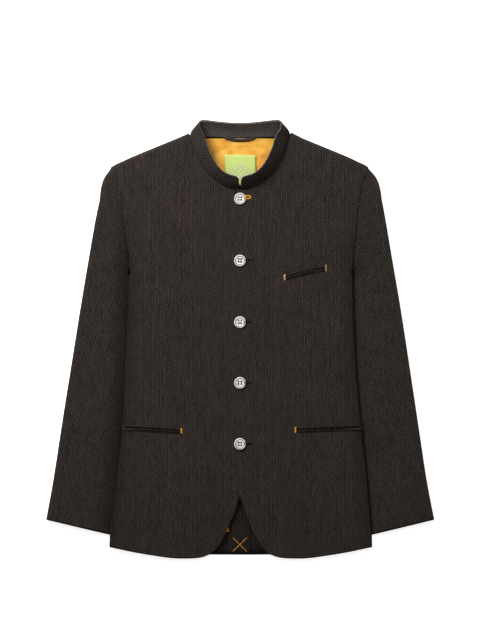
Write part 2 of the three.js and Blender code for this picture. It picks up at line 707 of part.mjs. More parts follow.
function collarPoint(column, row) {
  const t = column / (collarStations - 1);
  const along = collarEndRows[row].along;
  const low = collarSeam.getPoint(t);
  const high = collarTop.getPoint(t);
  const outward = high.clone().sub(low).cross(collarSeam.getTangent(t)).normalize();
  const point = low.clone().lerp(high, along).addScaledVector(outward, collarBulge * Math.sin(Math.PI * along));
  if (column === 0 || column === collarStations - 1) point.x = Math.sign(point.x) * collarEndRows[row].out;
  return point;
}
const makeCollar = () => clothSolid(collarStations, collarEndRows.length, collarPoint, clothWall);
const makeCollarFacing = () => clothSolid(collarStations, collarEndRows.length, collarPoint, clothWall,
  clothWall + seamGap);

// Lining of the back where the neck shows it, softly raised in the middle.
const liningPlace = { top: 345.4, bottom: 226, columns: 9, rows: 8 };
const liningWidthAt = throughTable([
  { y: 226, out: 104 },
  { y: 300, out: 100 },
  { y: 330, out: 88 },
  { y: 345.4, out: 74 },
], 'y', 'out');
function liningHeight(x, y) {
  const { height, reach, startBelow } = liningPuff;
  const open = Math.sin(Math.PI * ease(liningPlace.bottom - startBelow, liningPlace.top, y));
  return clothWall + seamGap + liningWall / 2 + height * bell(x / reach) * Math.max(open, 0);
}
function liningPoint(column, row) {
  const y = lerp(liningPlace.bottom, liningPlace.top, row / (liningPlace.rows - 1));
  const x = liningWidthAt(y) * lerp(-1, 1, column / (liningPlace.columns - 1));
  return new THREE.Vector3(x, y, liningHeight(x, y));
}
const makeLining = () => clothSolid(liningPlace.columns, liningPlace.rows, liningPoint, liningWall);

function labelPoint(column, row) {
  const along = (column / labelGrid - 0.5) * label.width;
  const down = (1 - row / labelGrid) * label.height;
  const x = label.centreX + along - down * label.tilt;
  const y = label.topY - down + along * label.tilt;
  return new THREE.Vector3(x, y, liningHeight(x, y));
}
const makeLabel = () => clothSolid(labelGrid + 1, labelGrid + 1, labelPoint, trimWall,
  liningWall / 2 + seamGap + trimWall / 2);

function makeLoop() {
  const stations = [-1, -0.6, -0.2, 0.2, 0.6, 1].map((part) => {
    const x = part * loop.halfSpan;
    const y = loop.y - loop.sag * (1 - part * part);
    return new THREE.Vector3(x, y, liningHeight(x, y) + liningWall / 2 + seamGap + loop.radius);
  });
  const outline = new THREE.Shape();
  outline.absarc(0, 0, loop.radius, 0, 2 * Math.PI);
  const { steps, curveSegments } = loop;
  const extrudePath = new THREE.CatmullRomCurve3(stations);
  return new THREE.ExtrudeGeometry(outline, { extrudePath, steps, curveSegments, bevelEnabled: false });
}

function ventPoint(column, row) {
  const x = lerp(-ventFacing.right, ventFacing.left, column / (ventFacing.columns - 1));
  const y = lerp(ventFacing.bottom, ventFacing.top, row / (ventFacing.rows - 1));
  return new THREE.Vector3(x, y, floorLayer);
}
const makeVentFacing = () => clothSolid(ventFacing.columns, ventFacing.rows, ventPoint, trimWall,
  clothWall / 2 + seamGap + trimWall / 2);

// Four-hole button with a raised rim round a dished middle.
const buttonProfile = [
  { part: 0, z: 0 },
  { part: 0.84, z: 0 },
  { part: 0.97, z: 0.22 },
  { part: 1, z: 0.5 },
  { part: 0.96, z: 0.86 },
  { part: 0.88, z: 1 },
  { part: 0.78, z: 0.93 },
  { part: 0.7, z: 0.72 },
  { part: 0, z: 0.66 },
];
function toManifold(geometry) {
  const bare = new THREE.BufferGeometry();
  bare.setAttribute('position', geometry.getAttribute('position'));
  if (geometry.index) bare.setIndex(geometry.index);
  const merged = mergeVertices(bare, 1e-4);
  const index = merged.index.array;
  const whole = [];
  for (let k = 0; k < index.length; k += 3) {
    const [a, b, c] = [index[k], index[k + 1], index[k + 2]];
    if (a !== b && b !== c && a !== c) whole.push(a, b, c);
  }
  return new wasm.Manifold(new wasm.Mesh({
    numProp: 3,
    vertProperties: Float32Array.from(merged.getAttribute('position').array),
    triVerts: Uint32Array.from(whole),
  }));
}
function fromManifold(solid) {
  const mesh = solid.getMesh();
  const geometry = new THREE.BufferGeometry();
  geometry.setAttribute('position', new THREE.BufferAttribute(mesh.vertProperties, 3));
  geometry.setIndex(new THREE.BufferAttribute(mesh.triVerts, 1));
  geometry.computeVertexNormals();
  return geometry;
}
function makeButton() {
  const { radius, height, holeRadius, segments, holeSegments } = button;
  const profile = buttonProfile.map((row) => new THREE.Vector2(row.part * radius, row.z * height));
  let solid = toManifold(new THREE.LatheGeometry(profile, segments).rotateX(Math.PI / 2));
  const hole = new THREE.CylinderGeometry(holeRadius, holeRadius, 4 * height, holeSegments);
  hole.rotateX(Math.PI / 2);
  for (const [cornerX, cornerY] of [[-1, -1], [1, -1], [1, 1], [-1, 1]]) {
    const placed = hole.clone().translate(cornerX * button.holePitch / 2, cornerY * button.holePitch / 2, 0);
    solid = solid.subtract(toManifold(placed));
  }
  return fromManifold(solid);
}

const jacket = new THREE.Group();
function addPiece(name, geometry, material) {
  const mesh = new THREE.Mesh(geometry, material);
  mesh.name = name;
  jacket.add(mesh);
  return mesh;
}

addPiece('front_left', makeFront(sides.left, 1), materials.cloth);
addPiece('front_right', makeFront(sides.right, -1), materials.cloth);
addPiece('back', makeBack(), materials.cloth);
for (const [name, side] of Object.entries(sides)) {
  addPiece(`sleeve_top_${name}`, makeSleeveTop(side), materials.cloth);
  addPiece(`sleeve_under_${name}`, makeSleeveUnder(side), materials.cloth);
}
addPiece('collar', makeCollar(), materials.cloth);
addPiece('collar_facing', makeCollarFacing(), materials.cloth);
addPiece('lining_back', makeLining(), materials.lining);
addPiece('label', makeLabel(), materials.label);
addPiece('hanger_loop', makeLoop(), materials.loop);
addPiece('vent_facing', makeVentFacing(), materials.cloth);
addPiece('chest_jet_upper', makeJet(sides.left, chestStations(), jet.slot / 2), materials.cloth);
addPiece('chest_jet_lower', makeJet(sides.left, chestStations(), -jet.slot / 2), materials.cloth);
for (const [name, pocket] of Object.entries(lowerPockets)) {
  const stations = lowerStations(sides[name], pocket);
  addPiece(`pocket_jet_upper_${name}`, makeJet(sides[name], stations, jet.slot / 2), materials.cloth);
  addPiece(`pocket_jet_lower_${name}`, makeJet(sides[name], stations, -jet.slot / 2), materials.cloth);
}
buttonRows.forEach((row, i) => {
  const mesh = addPiece(`button_${i + 1}`, makeButton(), materials.button);
  const seat = frontAt(sides.left, 1, 0, row.y);
  mesh.position.set(0, row.y, seat.z + clothWall / 2 + button.seat);
});

// The origin is the middle of the bounding box, at the table.
const box = new THREE.Box3().setFromObject(jacket);
const middle = box.getCenter(new THREE.Vector3());
jacket.position.set(-middle.x, -middle.y, -box.min.z);

export default jacket;
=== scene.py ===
import math

import bmesh
import bpy
import numpy as np
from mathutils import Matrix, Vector


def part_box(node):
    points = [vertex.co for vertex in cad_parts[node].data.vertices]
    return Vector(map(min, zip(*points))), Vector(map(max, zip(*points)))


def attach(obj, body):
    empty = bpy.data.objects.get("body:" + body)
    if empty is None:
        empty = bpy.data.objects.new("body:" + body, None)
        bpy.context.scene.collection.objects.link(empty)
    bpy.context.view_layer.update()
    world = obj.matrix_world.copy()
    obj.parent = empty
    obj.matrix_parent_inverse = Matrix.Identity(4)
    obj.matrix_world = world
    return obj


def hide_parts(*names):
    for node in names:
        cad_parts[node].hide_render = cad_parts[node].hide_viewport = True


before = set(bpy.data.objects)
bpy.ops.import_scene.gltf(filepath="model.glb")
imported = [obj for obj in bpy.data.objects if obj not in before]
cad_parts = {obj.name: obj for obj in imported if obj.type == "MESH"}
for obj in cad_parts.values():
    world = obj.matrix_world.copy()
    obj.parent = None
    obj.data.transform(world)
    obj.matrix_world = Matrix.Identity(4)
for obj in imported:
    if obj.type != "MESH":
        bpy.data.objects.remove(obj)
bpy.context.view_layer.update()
mm = 0.001

print("stage: camera, floor and light")

# Straight above the jacket. The picture is frameHeight high on the table, in metres.
cameraSet = {"distance": 5.0, "frameHeight": 1.0990, "sensor": 36.0, "middleX": -0.0004, "middleY": 0.0337}


def addCamera(s):
    data = bpy.data.cameras.new("camera")
    data.sensor_width = s["sensor"]
    data.lens = s["sensor"] * s["distance"] / s["frameHeight"]
    camera = bpy.data.objects.new("camera", data)
    camera.location = (s["middleX"], s["middleY"], s["distance"])
    bpy.context.scene.collection.objects.link(camera)
    bpy.context.scene.camera = camera


studio = {
    "floorSize": 9.0,
    "floorDrop": 0.0004,
    "floorRoughness": 0.9,
    "floorColour": (0.93, 0.93, 0.93, 1),
    "floorGlow": 0.8,
    "worldStrength": 0.13,
    "softboxes": [
        {"at": (-1.0, 1.35, 1.25), "size": 0.9, "power": 53},
        {"at": (0.9, 1.3, 1.6), "size": 1.5, "power": 15},
        {"at": (-0.6, -1.2, 2.4), "size": 1.8, "power": 4},
    ],
}


def addStudio(s):
    scene = bpy.context.scene
    scene.view_settings.view_transform = "Standard"
    bpy.ops.mesh.primitive_plane_add(size=s["floorSize"], location=(0, 0, -s["floorDrop"]))
    floor = bpy.context.object
    floor.name = "floor"
    paper = bpy.data.materials.new("paper floor")
    paper.use_nodes = True
    shader = paper.node_tree.nodes["Principled BSDF"]
    shader.inputs["Base Color"].default_value = s["floorColour"]
    shader.inputs["Roughness"].default_value = s["floorRoughness"]
    shader.inputs["Emission Color"].default_value = (1, 1, 1, 1)
    shader.inputs["Emission Strength"].default_value = s["floorGlow"]
    floor.data.materials.append(paper)
    world = bpy.data.worlds.new("studio")
    world.use_nodes = True
    world.node_tree.nodes["Background"].inputs["Color"].default_value = (1, 1, 1, 1)
    world.node_tree.nodes["Background"].inputs["Strength"].default_value = s["worldStrength"]
    scene.world = world
    for box in s["softboxes"]:
        light = bpy.data.lights.new("softbox", "AREA")
        light.size = box["size"]
        light.energy = box["power"]
        lamp = bpy.data.objects.new("softbox", light)
        lamp.location = box["at"]
        lamp.rotation_euler = (-Vector(box["at"])).to_track_quat("-Z", "Y").to_euler()
        scene.collection.objects.link(lamp)


addCamera(cameraSet)
addStudio(studio)

print("stage: materials")


class Wiring:
    # Short words for adding shader nodes and joining them.
    def __init__(self, name):
        self.material = bpy.data.materials.new(name)
        self.material.use_nodes = True
        self.tree = self.material.node_tree
        self.shader = self.tree.nodes["Principled BSDF"]

    def node(self, kind, **settings):
        made = self.tree.nodes.new(kind)
        for key, value in settings.items():
            setattr(made, key, value)
        return made

    def put(self, socket, value):
        if hasattr(value, "is_output"):
            self.tree.links.new(value, socket)
        else:
            socket.default_value = value

    def sum(self, operation, *values):
        made = self.node("ShaderNodeMath", operation=operation)
        for socket, value in zip(made.inputs, values):
            self.put(socket, value)
        return made.outputs[0]

    def place(self, turn=0.0, scale=(1, 1, 1)):
        source = self.node("ShaderNodeTexCoord").outputs["Object"]
        mapping = self.node("ShaderNodeMapping")
        mapping.inputs["Rotation"].default_value = (0, 0, turn)
        mapping.inputs["Scale"].default_value = scale
        self.put(mapping.inputs["Vector"], source)
        return mapping.outputs["Vector"]

    def apart(self, vector):
        parts = self.node("ShaderNodeSeparateXYZ")
        self.put(parts.inputs[0], vector)
        return parts.outputs["X"], parts.outputs["Y"]

    def noise(self, vector, scale, detail=2.0, rough=0.5):
        made = self.node("ShaderNodeTexNoise")
        self.put(made.inputs["Vector"], vector)
        made.inputs["Scale"].default_value = scale
        made.inputs["Detail"].default_value = detail
        made.inputs["Roughness"].default_value = rough
        return made.outputs["Fac"]

    def ramp(self, value, low, high):
        made = self.node("ShaderNodeMapRange", interpolation_type="SMOOTHSTEP")
        self.put(made.inputs["Value"], value)
        made.inputs["From Min"].default_value = low
        made.inputs["From Max"].default_value = high
        return made.outputs["Result"]

    def mix(self, amount, first, second):
        made = self.node("ShaderNodeMix", data_type="RGBA")
        colours = [socket for socket in made.inputs if socket.type == "RGBA"]
        self.put(made.inputs[0], amount)
        self.put(colours[0], first)
        self.put(colours[1], second)
        return [socket for socket in made.outputs if socket.type == "RGBA"][0]

    def bump(self, height, strength, distance):
        made = self.node("ShaderNodeBump")
        made.inputs["Strength"].default_value = strength
        made.inputs["Distance"].default_value = distance
        self.put(made.inputs["Height"], height)
        self.put(self.shader.inputs["Normal"], made.outputs["Normal"])

    def surface(self, colour, roughness, sheen=0.0, sheenRoughness=0.4, coat=0.0, gloss=0.5):
        self.put(self.shader.inputs["Base Color"], colour)
        self.put(self.shader.inputs["Roughness"], roughness)
        self.shader.inputs["Sheen Weight"].default_value = sheen
        self.shader.inputs["Sheen Roughness"].default_value = sheenRoughness
        self.shader.inputs["Coat Weight"].default_value = coat
        self.shader.inputs["Specular IOR Level"].default_value = gloss
        return self.material


herringbone = {
    "rib": 8.4 * mm,          # width of one upright column of the weave
    "twill": 4.2 * mm,        # height from one diagonal line to the next
    "yarn": 2.8 * mm,         # spacing of the upright yarns
    "dark": (0.0078, 0.0055, 0.0045, 1),
    "light": (0.0215, 0.0160, 0.0130, 1),
    "fleck": (0.160, 0.136, 0.116, 1),
    "moss": (0.0135, 0.0150, 0.008, 1),
    "rose": (0.028, 0.0145, 0.0130, 1),
    # the dark colour that the painted shade mixes the cloth towards
    "paintedShade": (0.0012, 0.0010, 0.0008, 1),
    "fleckShade": 0.35,       # how far a shaded cloth's flecks follow its shade
    "tintStrength": 0.6,
    "fleckStrength": 0.9,
    "wobble": 2.2 * mm,
    "bump": 0.3 * mm,
    "bumpStrength": 0.3,
    "roughness": 0.86,
    "sheen": 0.03,
    "sheenRoughness": 0.5,
    "sheenTint": (0.9, 0.7, 0.6, 1),
    "gloss": 0.12,
    # Noises: how far they are drawn out up the cloth, scale, detail and roughness.
    "streaks": (0.05, 420, 3, 0.75),
    "yarns": (0.3, 1500, 2, 0.7),
    "tints": (0.05, 150, 2, 0.7),
    "slubs": (0.14, 380, 3, 0.8),
}


def herringboneCloth(name, turn, s, shade=(1, 1, 1)):
    w = Wiring(name)
    tones = {}
    for key in ("dark", "light", "fleck", "moss", "rose"):
        strength = s["fleckShade"] if key == "fleck" else 1.0
        tones[key] = tuple(part * own ** strength for part, own in zip(s[key], shade)) + (1,)
    lie = w.place(turn)
    across, up = w.apart(lie)

    def drawnOut(key):
        stretch, scale, detail, rough = s[key]
        return w.noise(w.place(turn, (1, stretch, 1)), scale, detail, rough)

    wobble = w.sum("MULTIPLY", w.noise(lie, 60, 2), s["wobble"])
    mirrored = w.sum("PINGPONG", across, s["rib"])
    climb = w.sum("ADD", w.sum("ADD", up, mirrored), wobble)
    phase = w.sum("MULTIPLY", climb, 2 * math.pi / s["twill"])
    twill = w.ramp(w.sum("SINE", phase), -0.1, 0.95)
    column = w.sum("MULTIPLY", across, 2 * math.pi / s["yarn"])
    knots = w.sum("MULTIPLY", w.ramp(w.sum("SINE", column), -0.2, 0.95), twill)
    streaks = drawnOut("streaks")                 # the uneven thickness of the yarns
    yarns = drawnOut("yarns")
    broad = w.noise(lie, 9, 3, 0.6)
    tone = w.sum("MULTIPLY_ADD", streaks, 0.25, w.sum("MULTIPLY", yarns, 0.65))
    tone = w.sum("MULTIPLY_ADD", broad, 0.12, w.sum("SUBTRACT", tone, 0.42))
    tone = w.sum("MULTIPLY_ADD", twill, 0.35, tone)
    colour = w.mix(w.ramp(tone, -0.10, 0.62), tones["dark"], tones["light"])
    tint = drawnOut("tints")
    for low, high, key in ((0.54, 0.72, "moss"), (0.46, 0.30, "rose")):
        colour = w.mix(w.sum("MULTIPLY", w.ramp(tint, low, high), s["tintStrength"]), colour, tones[key])
    slubs = w.ramp(drawnOut("slubs"), 0.26, 0.62)
    flecks = w.sum("MULTIPLY", w.sum("MULTIPLY", knots, slubs), s["fleckStrength"])
    colour = w.mix(flecks, colour, tones["fleck"])
    w.bump(w.sum("MULTIPLY_ADD", yarns, 0.5, twill), s["bumpStrength"], s["bump"])
    roughness = w.sum("MULTIPLY_ADD", yarns, 0.1, s["roughness"])
    w.shader.inputs["Sheen Tint"].default_value = s["sheenTint"]
    # Painted shade: the colour is darkened by the attribute read here, along the crease between sleeves and
    # fronts
    paintedShade = w.node("ShaderNodeAttribute", attribute_name="paintedShade").outputs["Fac"]
    colour = w.mix(paintedShade, colour, s["paintedShade"])
    return w.surface(colour, roughness, s["sheen"], s["sheenRoughness"], 0.0, s["gloss"])


satin = {
    "deep": (0.53, 0.212, 0.0125, 1),
    "bright": (0.87, 0.46, 0.060, 1),
    "cloudScale": 34,
    "foldScale": 26,
    "threads": 2600,
    "bump": 2.2 * mm,
    "bumpStrength": 0.6,
}


def satinLining(name, s):
    w = Wiring(name)
    lie = w.place()
    clouds = w.noise(lie, s["cloudScale"], 3, 0.55)
    folds = w.noise(w.place(0.5, (1, 2.4, 1)), s["foldScale"], 2, 0.45)
    fine = w.noise(w.place(0, (1, 0.15, 1)), s["threads"], 1)
    colour = w.mix(w.ramp(w.sum("MULTIPLY_ADD", fine, 0.25, clouds), 0.32, 0.86), s["deep"], s["bright"])
    w.bump(w.sum("MULTIPLY_ADD", fine, 0.04, folds), s["bumpStrength"], s["bump"])
    return w.surface(colour, w.sum("MULTIPLY_ADD", clouds, 0.12, 0.3), 0.25, 0.3)


labelWeave = {
    "ground": (0.485, 0.59, 0.150, 1),
    "pale": (0.485, 0.55, 0.25, 1),
    "line": (0.13, 0.17, 0.075, 1),
    "middleX": 0.5 * mm,
    "middleY": 288 * mm,
    "diamond": 4.6 * mm,
    "halfWidth": 20 * mm,
    "halfHeight": 16 * mm,
    "lineEdges": (0.8 * mm, 0.2 * mm),
    "threads": 420,
}


def wovenLabel(name, s):
    # A plain lattice of little diamonds under a bare top, in the colours of a lime woven label.
    w = Wiring(name)
    lie = w.place()
    across, up = w.apart(lie)
    across = w.sum("SUBTRACT", across, s["middleX"])
    up = w.sum("SUBTRACT", up, s["middleY"])
    rising = w.sum("PINGPONG", w.sum("ADD", across, up), s["diamond"])
    falling = w.sum("PINGPONG", w.sum("SUBTRACT", across, up), s["diamond"])
    lines = w.sum("MAXIMUM", w.ramp(rising, *s["lineEdges"]), w.ramp(falling, *s["lineEdges"]))
    wide = w.sum("DIVIDE", w.sum("ABSOLUTE", across), s["halfWidth"])
    tall = w.sum("DIVIDE", w.sum("ABSOLUTE", up), s["halfHeight"])
    inside = w.ramp(w.sum("ADD", wide, tall), 1.03, 0.99)
    mottle = w.noise(lie, 320, 2, 0.6)
    colour = w.mix(w.sum("MULTIPLY", inside, 0.75), s["ground"], s["pale"])
    ink = w.sum("MULTIPLY", w.sum("MULTIPLY", lines, inside), w.sum("MULTIPLY_ADD", mottle, 0.5, 0.35))
    colour = w.mix(ink, colour, s["line"])
    threads = w.node("ShaderNodeTexWave", wave_type="BANDS", bands_direction="Y")
    w.put(threads.inputs["Vector"], lie)
    threads.inputs["Scale"].default_value = s["threads"]
    threads.inputs["Distortion"].default_value = 1.2
    w.bump(threads.outputs["Fac"], 0.3, 0.0003)
    return w.surface(colour, 0.58, 0.2)


twisted = {"turn": 0.6, "scale": 1800, "bumpStrength": 0.4, "bump": 0.2 * mm, "roughness": 0.5,
           "sheen": 0.02, "sheenRoughness": 0.4, "gloss": 0.12}


def threadMaterial(name, dark, light, s=twisted):
    w = Wiring(name)
    twist = w.noise(w.place(s["turn"]), s["scale"], 2)
    w.bump(twist, s["bumpStrength"], s["bump"])
    colour = w.mix(w.ramp(twist, 0.3, 0.7), dark, light)
    return w.surface(colour, s["roughness"], s["sheen"], s["sheenRoughness"], 0.0, s["gloss"])


pearl = {
    "body": (0.60, 0.59, 0.57, 1),
    "cloud": (0.90, 0.88, 0.85, 1),
    "ring": (0.020, 0.020, 0.022, 1),
}


def pearlButton(name, s):
    w = Wiring(name)
    lie = w.place(0.4, (1, 2.2, 1))
    clouds = w.noise(lie, 130, 3, 0.6)
    grain = w.noise(w.place(0.9, (1, 5, 1)), 420, 2, 0.7)
    colour = w.mix(w.ramp(w.sum("MULTIPLY_ADD", grain, 0.5, clouds), 0.5, 0.95), s["body"], s["cloud"])
    w.bump(grain, 0.05, 0.0003)
    return w.surface(colour, w.sum("MULTIPLY_ADD", clouds, 0.12, 0.16), 0.0, 0.3, 0.5)


def buttonRing(name, s):
    w = Wiring(name)
    mottle = w.noise(w.place(), 330, 2, 0.6)
    colour = w.mix(w.ramp(mottle, 0.64, 0.80), s["ring"], s["body"])
    w.bump(mottle, 0.05, 0.0002)
    return w.surface(colour, 0.25, 0.0, 0.3, 0.4)


sleeveGrain = 0.19        # radians that the sleeves' weave leans from the body's
finish = {
    "body": herringboneCloth("herringbone body", 0.0, herringbone),
    "leftSleeve": herringboneCloth("herringbone left sleeve", -sleeveGrain, herringbone),
    "rightSleeve": herringboneCloth("herringbone right sleeve", sleeveGrain, herringbone),
    "band": herringboneCloth("herringbone collar", 0.35, herringbone),
    # Painted light: a lighter copy of the cloth for the collar's back, tinted cooler against the warm light
    # thrown up by the lining
    "facing": herringboneCloth("herringbone facing", 0.6, herringbone, (8.0, 10.2, 12.6)),
    # Painted shade: darker copies of the cloth for the back's inner face and the vent strip, which lie in
    # shade inside the cutaway
    "inside": herringboneCloth("herringbone inside", 0.0, herringbone, (0.3, 0.3, 0.3)),      # in the shade
    "strip": herringboneCloth("herringbone strip", 0.0, herringbone, (0.36, 0.36, 0.36)),
    "lining": satinLining("golden satin", satin),
    "label": wovenLabel("lime woven label", labelWeave),
    "amber": threadMaterial("amber twist", (0.62, 0.22, 0.012, 1), (0.95, 0.45, 0.05, 1)),
    "straw": threadMaterial("straw twist", (0.42, 0.22, 0.055, 1), (0.80, 0.58, 0.30, 1)),
    "tape": threadMaterial("brown tape", (0.020, 0.013, 0.010, 1), (0.075, 0.048, 0.036, 1)),
    "yellow": threadMaterial("yellow twist", (0.60, 0.42, 0.05, 1), (0.85, 0.66, 0.15, 1)),
    "dark": threadMaterial("dark twist", (0.0025, 0.002, 0.002, 1), (0.007, 0.006, 0.005, 1)),
    "olive": threadMaterial("olive twist", (0.035, 0.045, 0.03, 1), (0.10, 0.12, 0.075, 1)),
    "steel": threadMaterial("grey tape", (0.22, 0.21, 0.19, 1), (0.42, 0.41, 0.37, 1)),
    "button": pearlButton("pearly button", pearl),
    "ring": buttonRing("button ring", pearl),
}

print("stage: cloth on its solids")


def smoothStep(low, high, value):
    t = np.clip((value - low) / (high - low), 0, 1)
    return t * t * (3 - 2 * t)


# Soft troughs, and ridges where the depth is below 0, in millimetres and radians.
frontFolds = [
    {"x": -162, "y": 92, "length": 46, "width": 8, "depth": 0.9, "turn": 0.85},
    {"x": -150, "y": 55, "length": 58, "width": 11, "depth": 0.7, "turn": 1.05},
    {"x": -176, "y": 18, "length": 42, "width": 7, "depth": 0.6, "turn": 1.35},
    {"x": -116, "y": 20, "length": 120, "width": 3.2, "depth": 0.55, "turn": 1.57},
    {"x": -150, "y": 205, "length": 52, "width": 12, "depth": 0.8, "turn": 1.9},
    {"x": -92, "y": 250, "length": 38, "width": 9, "depth": 0.5, "turn": 2.3},
    {"x": -60, "y": 215, "length": 36, "width": 10, "depth": -0.5, "turn": 2.2},
    {"x": -128, "y": -250, "length": 62, "width": 12, "depth": 0.8, "turn": 1.5},
    {"x": -170, "y": -300, "length": 44, "width": 9, "depth": 0.6, "turn": 1.7},
    {"x": -84, "y": -330, "length": 34, "width": 10, "depth": -0.6, "turn": 1.45},
    {"x": -48, "y": 84, "length": 24, "width": 6, "depth": 0.35, "turn": 0.15},
    {"x": -44, "y": -20, "length": 26, "width": 7, "depth": 0.35, "turn": -0.2},
    {"x": 160, "y": 96, "length": 52, "width": 9, "depth": 1.0, "turn": -0.9},
    {"x": 172, "y": 52, "length": 46, "width": 8, "depth": 0.7, "turn": -1.15},
    {"x": 107, "y": 10, "length": 125, "width": 3.2, "depth": 0.55, "turn": 1.57},
    {"x": 152, "y": 212, "length": 48, "width": 12, "depth": 0.8, "turn": 1.2},
    {"x": 96, "y": 262, "length": 36, "width": 8, "depth": 0.5, "turn": 0.85},
    {"x": 118, "y": -246, "length": 66, "width": 13, "depth": 0.8, "turn": 1.62},
    {"x": 178, "y": -262, "length": 50, "width": 9, "depth": 0.7, "turn": 1.35},
    {"x": 84, "y": -330, "length": 36, "width": 10, "depth": -0.6, "turn": 1.6},
    {"x": 34, "y": 190, "length": 22, "width": 6, "depth": 0.35, "turn": -0.1},
    {"x": 38, "y": -128, "length": 26, "width": 7, "depth": 0.35, "turn": 0.2},
]
rightSleeveFolds = [
    {"x": -226, "y": 168, "length": 34, "width": 8, "depth": 1.0, "turn": 1.25},
    {"x": -232, "y": 112, "length": 36, "width": 7, "depth": 1.2, "turn": 0.55},
    {"x": -226, "y": 70, "length": 40, "width": 8, "depth": 1.1, "turn": 0.35},
    {"x": -236, "y": 26, "length": 36, "width": 9, "depth": 0.9, "turn": -0.15},
    {"x": -240, "y": -14, "length": 40, "width": 10, "depth": 0.9, "turn": -0.5},
    {"x": -262, "y": -92, "length": 52, "width": 12, "depth": 0.7, "turn": -0.9},
    {"x": -252, "y": -176, "length": 56, "width": 11, "depth": 0.6, "turn": -1.25},
    {"x": -284, "y": -232, "length": 46, "width": 10, "depth": -0.6, "turn": -1.35},
    {"x": -268, "y": -286, "length": 34, "width": 9, "depth": 0.5, "turn": -1.5},
]
leftSleeveFolds = [
    {"x": 228, "y": 176, "length": 36, "width": 8, "depth": 1.0, "turn": 1.9},
    {"x": 230, "y": 118, "length": 38, "width": 7, "depth": 1.2, "turn": 2.6},
    {"x": 232, "y": 84, "length": 34, "width": 7, "depth": 1.0, "turn": 2.9},
    {"x": 240, "y": 34, "length": 40, "width": 10, "depth": 1.0, "turn": 0.25},
    {"x": 248, "y": -26, "length": 44, "width": 10, "depth": 0.9, "turn": 0.6},
    {"x": 270, "y": -110, "length": 50, "width": 12, "depth": 0.7, "turn": 1.0},
    {"x": 256, "y": -188, "length": 54, "width": 11, "depth": 0.7, "turn": 1.3},
    {"x": 290, "y": -222, "length": 48, "width": 10, "depth": -0.6, "turn": 1.4},
    {"x": 272, "y": -290, "length": 32, "width": 9, "depth": 0.5, "turn": 1.6},
]
liningFolds = [
    {"x": -38, "y": 322, "length": 22, "width": 5, "depth": 1.2, "turn": 0.5},
    {"x": 34, "y": 328, "length": 20, "width": 5, "depth": 1.2, "turn": -0.4},
    {"x": -8, "y": 334, "length": 26, "width": 4, "depth": -0.9, "turn": 0.1},
    {"x": 44, "y": 306, "length": 18, "width": 5, "depth": 0.6, "turn": 1.2},
    {"x": -46, "y": 300, "length": 20, "width": 5, "depth": 0.6, "turn": 1.9},
]
# The armhole seams, where the cloth dips a little on both sides.
armholes = {
    "ys": [127, 180, 228, 266, 296],
    "right": [-190.5, -194.5, -203, -213, -219],
    "left": [194, 199, 203, 209.5, 217],
    "depth": 0.55,
    "width": 3.5,
    "foot": (112, 140),
    "head": (292, 300),
}
foldBend = 0.0016        # how much a fold bends away from a straight line, for each millimetre squared


def foldDepth(points, folds):
    x, y = points[:, 0] / mm, points[:, 1] / mm
    depth = np.zeros(len(points))
    for f in folds:
        dx, dy = x - f["x"], y - f["y"]
        bent = dx * math.cos(f["turn"]) + dy * math.sin(f["turn"])
        off = -dx * math.sin(f["turn"]) + dy * math.cos(f["turn"]) + foldBend * bent * bent
        depth += f["depth"] * np.exp(-(off / f["width"]) ** 2) * np.exp(-(bent / f["length"]) ** 4)
    return depth


def seamDip(points, s):
    x, y = points[:, 0] / mm, points[:, 1] / mm
    depth = np.zeros(len(points))
    for side in ("right", "left"):
        away = np.abs(x - np.interp(y, s["ys"], s[side]))
        depth += s["depth"] * np.exp(-(away / s["width"]) ** 2)
    return depth * smoothStep(*s["foot"], y) * (1 - smoothStep(*s["head"], y))


# How the shoulders' ends are drawn out to the sleeve heads, and their neck ends up to the collar.
shoulderClose = {
    "from": 262, "to": 292, "inner": 200, "outer": 212, "reach": 4.6,
    "trim": (286, 298), "trimLeft": 0.3, "trimRight": 0.6,
    "neckInner": (76, 82), "neckOuter": (84, 114), "neckUp": (325, 352), "neckLeft": 2.6, "neckRight": 1.2,
}


def closeShoulder(points, s):
    x, y = points[:, 0] / mm, points[:, 1] / mm
    up = np.clip((y - s["from"]) / (s["to"] - s["from"]), 0, 1)
    out = s["reach"] * (1 - np.where(x > 0, s["trimLeft"], s["trimRight"]) * smoothStep(*s["trim"], y))
    points[:, 0] += np.sign(x) * up * smoothStep(s["inner"], s["outer"], np.abs(x)) * out * mm
    atNeck = (1 - smoothStep(*s["neckOuter"], np.abs(x))) * smoothStep(*s["neckInner"], np.abs(x))
    atNeck *= smoothStep(*s["neckUp"], y)
    points[:, 1] += np.where(x > 0, s["neckLeft"], s["neckRight"]) * atNeck * mm


# How far the top of a front falls off towards its folded side.
sideFall = {
    "reach": 24, "left": 3.0, "right": 2.0, "end": (100, 190), "top": (5.4, 9.0),
    "ys": [-356, -215, -70, 80, 127],
    "leftOut": [227.2, 216.5, 201.5, 195, 194],
    "rightOut": [224.5, 209, 198, 191, 190.5],
}


def fallAtSide(points, s):
    x, y = points[:, 0] / mm, points[:, 1] / mm
    edge = np.where(x > 0, np.interp(y, s["ys"], s["leftOut"]), np.interp(y, s["ys"], s["rightOut"]))
    near = np.clip(1 - (edge - np.abs(x)) / s["reach"], 0, 1) ** 2
    depth = near * np.where(x > 0, s["left"], s["right"]) * (1 - smoothStep(*s["end"], y))
    points[:, 2] -= depth * smoothStep(*s["top"], points[:, 2] / mm) * mm


# How far the sleeve heads swell past their solids, under the ends of the shoulders.
sleeveHead = {"low": 236, "high": 304, "right": 4.4, "left": 2.6, "reach": 14,
              "ys": [228, 266, 296], "ins": [205, 214, 222]}


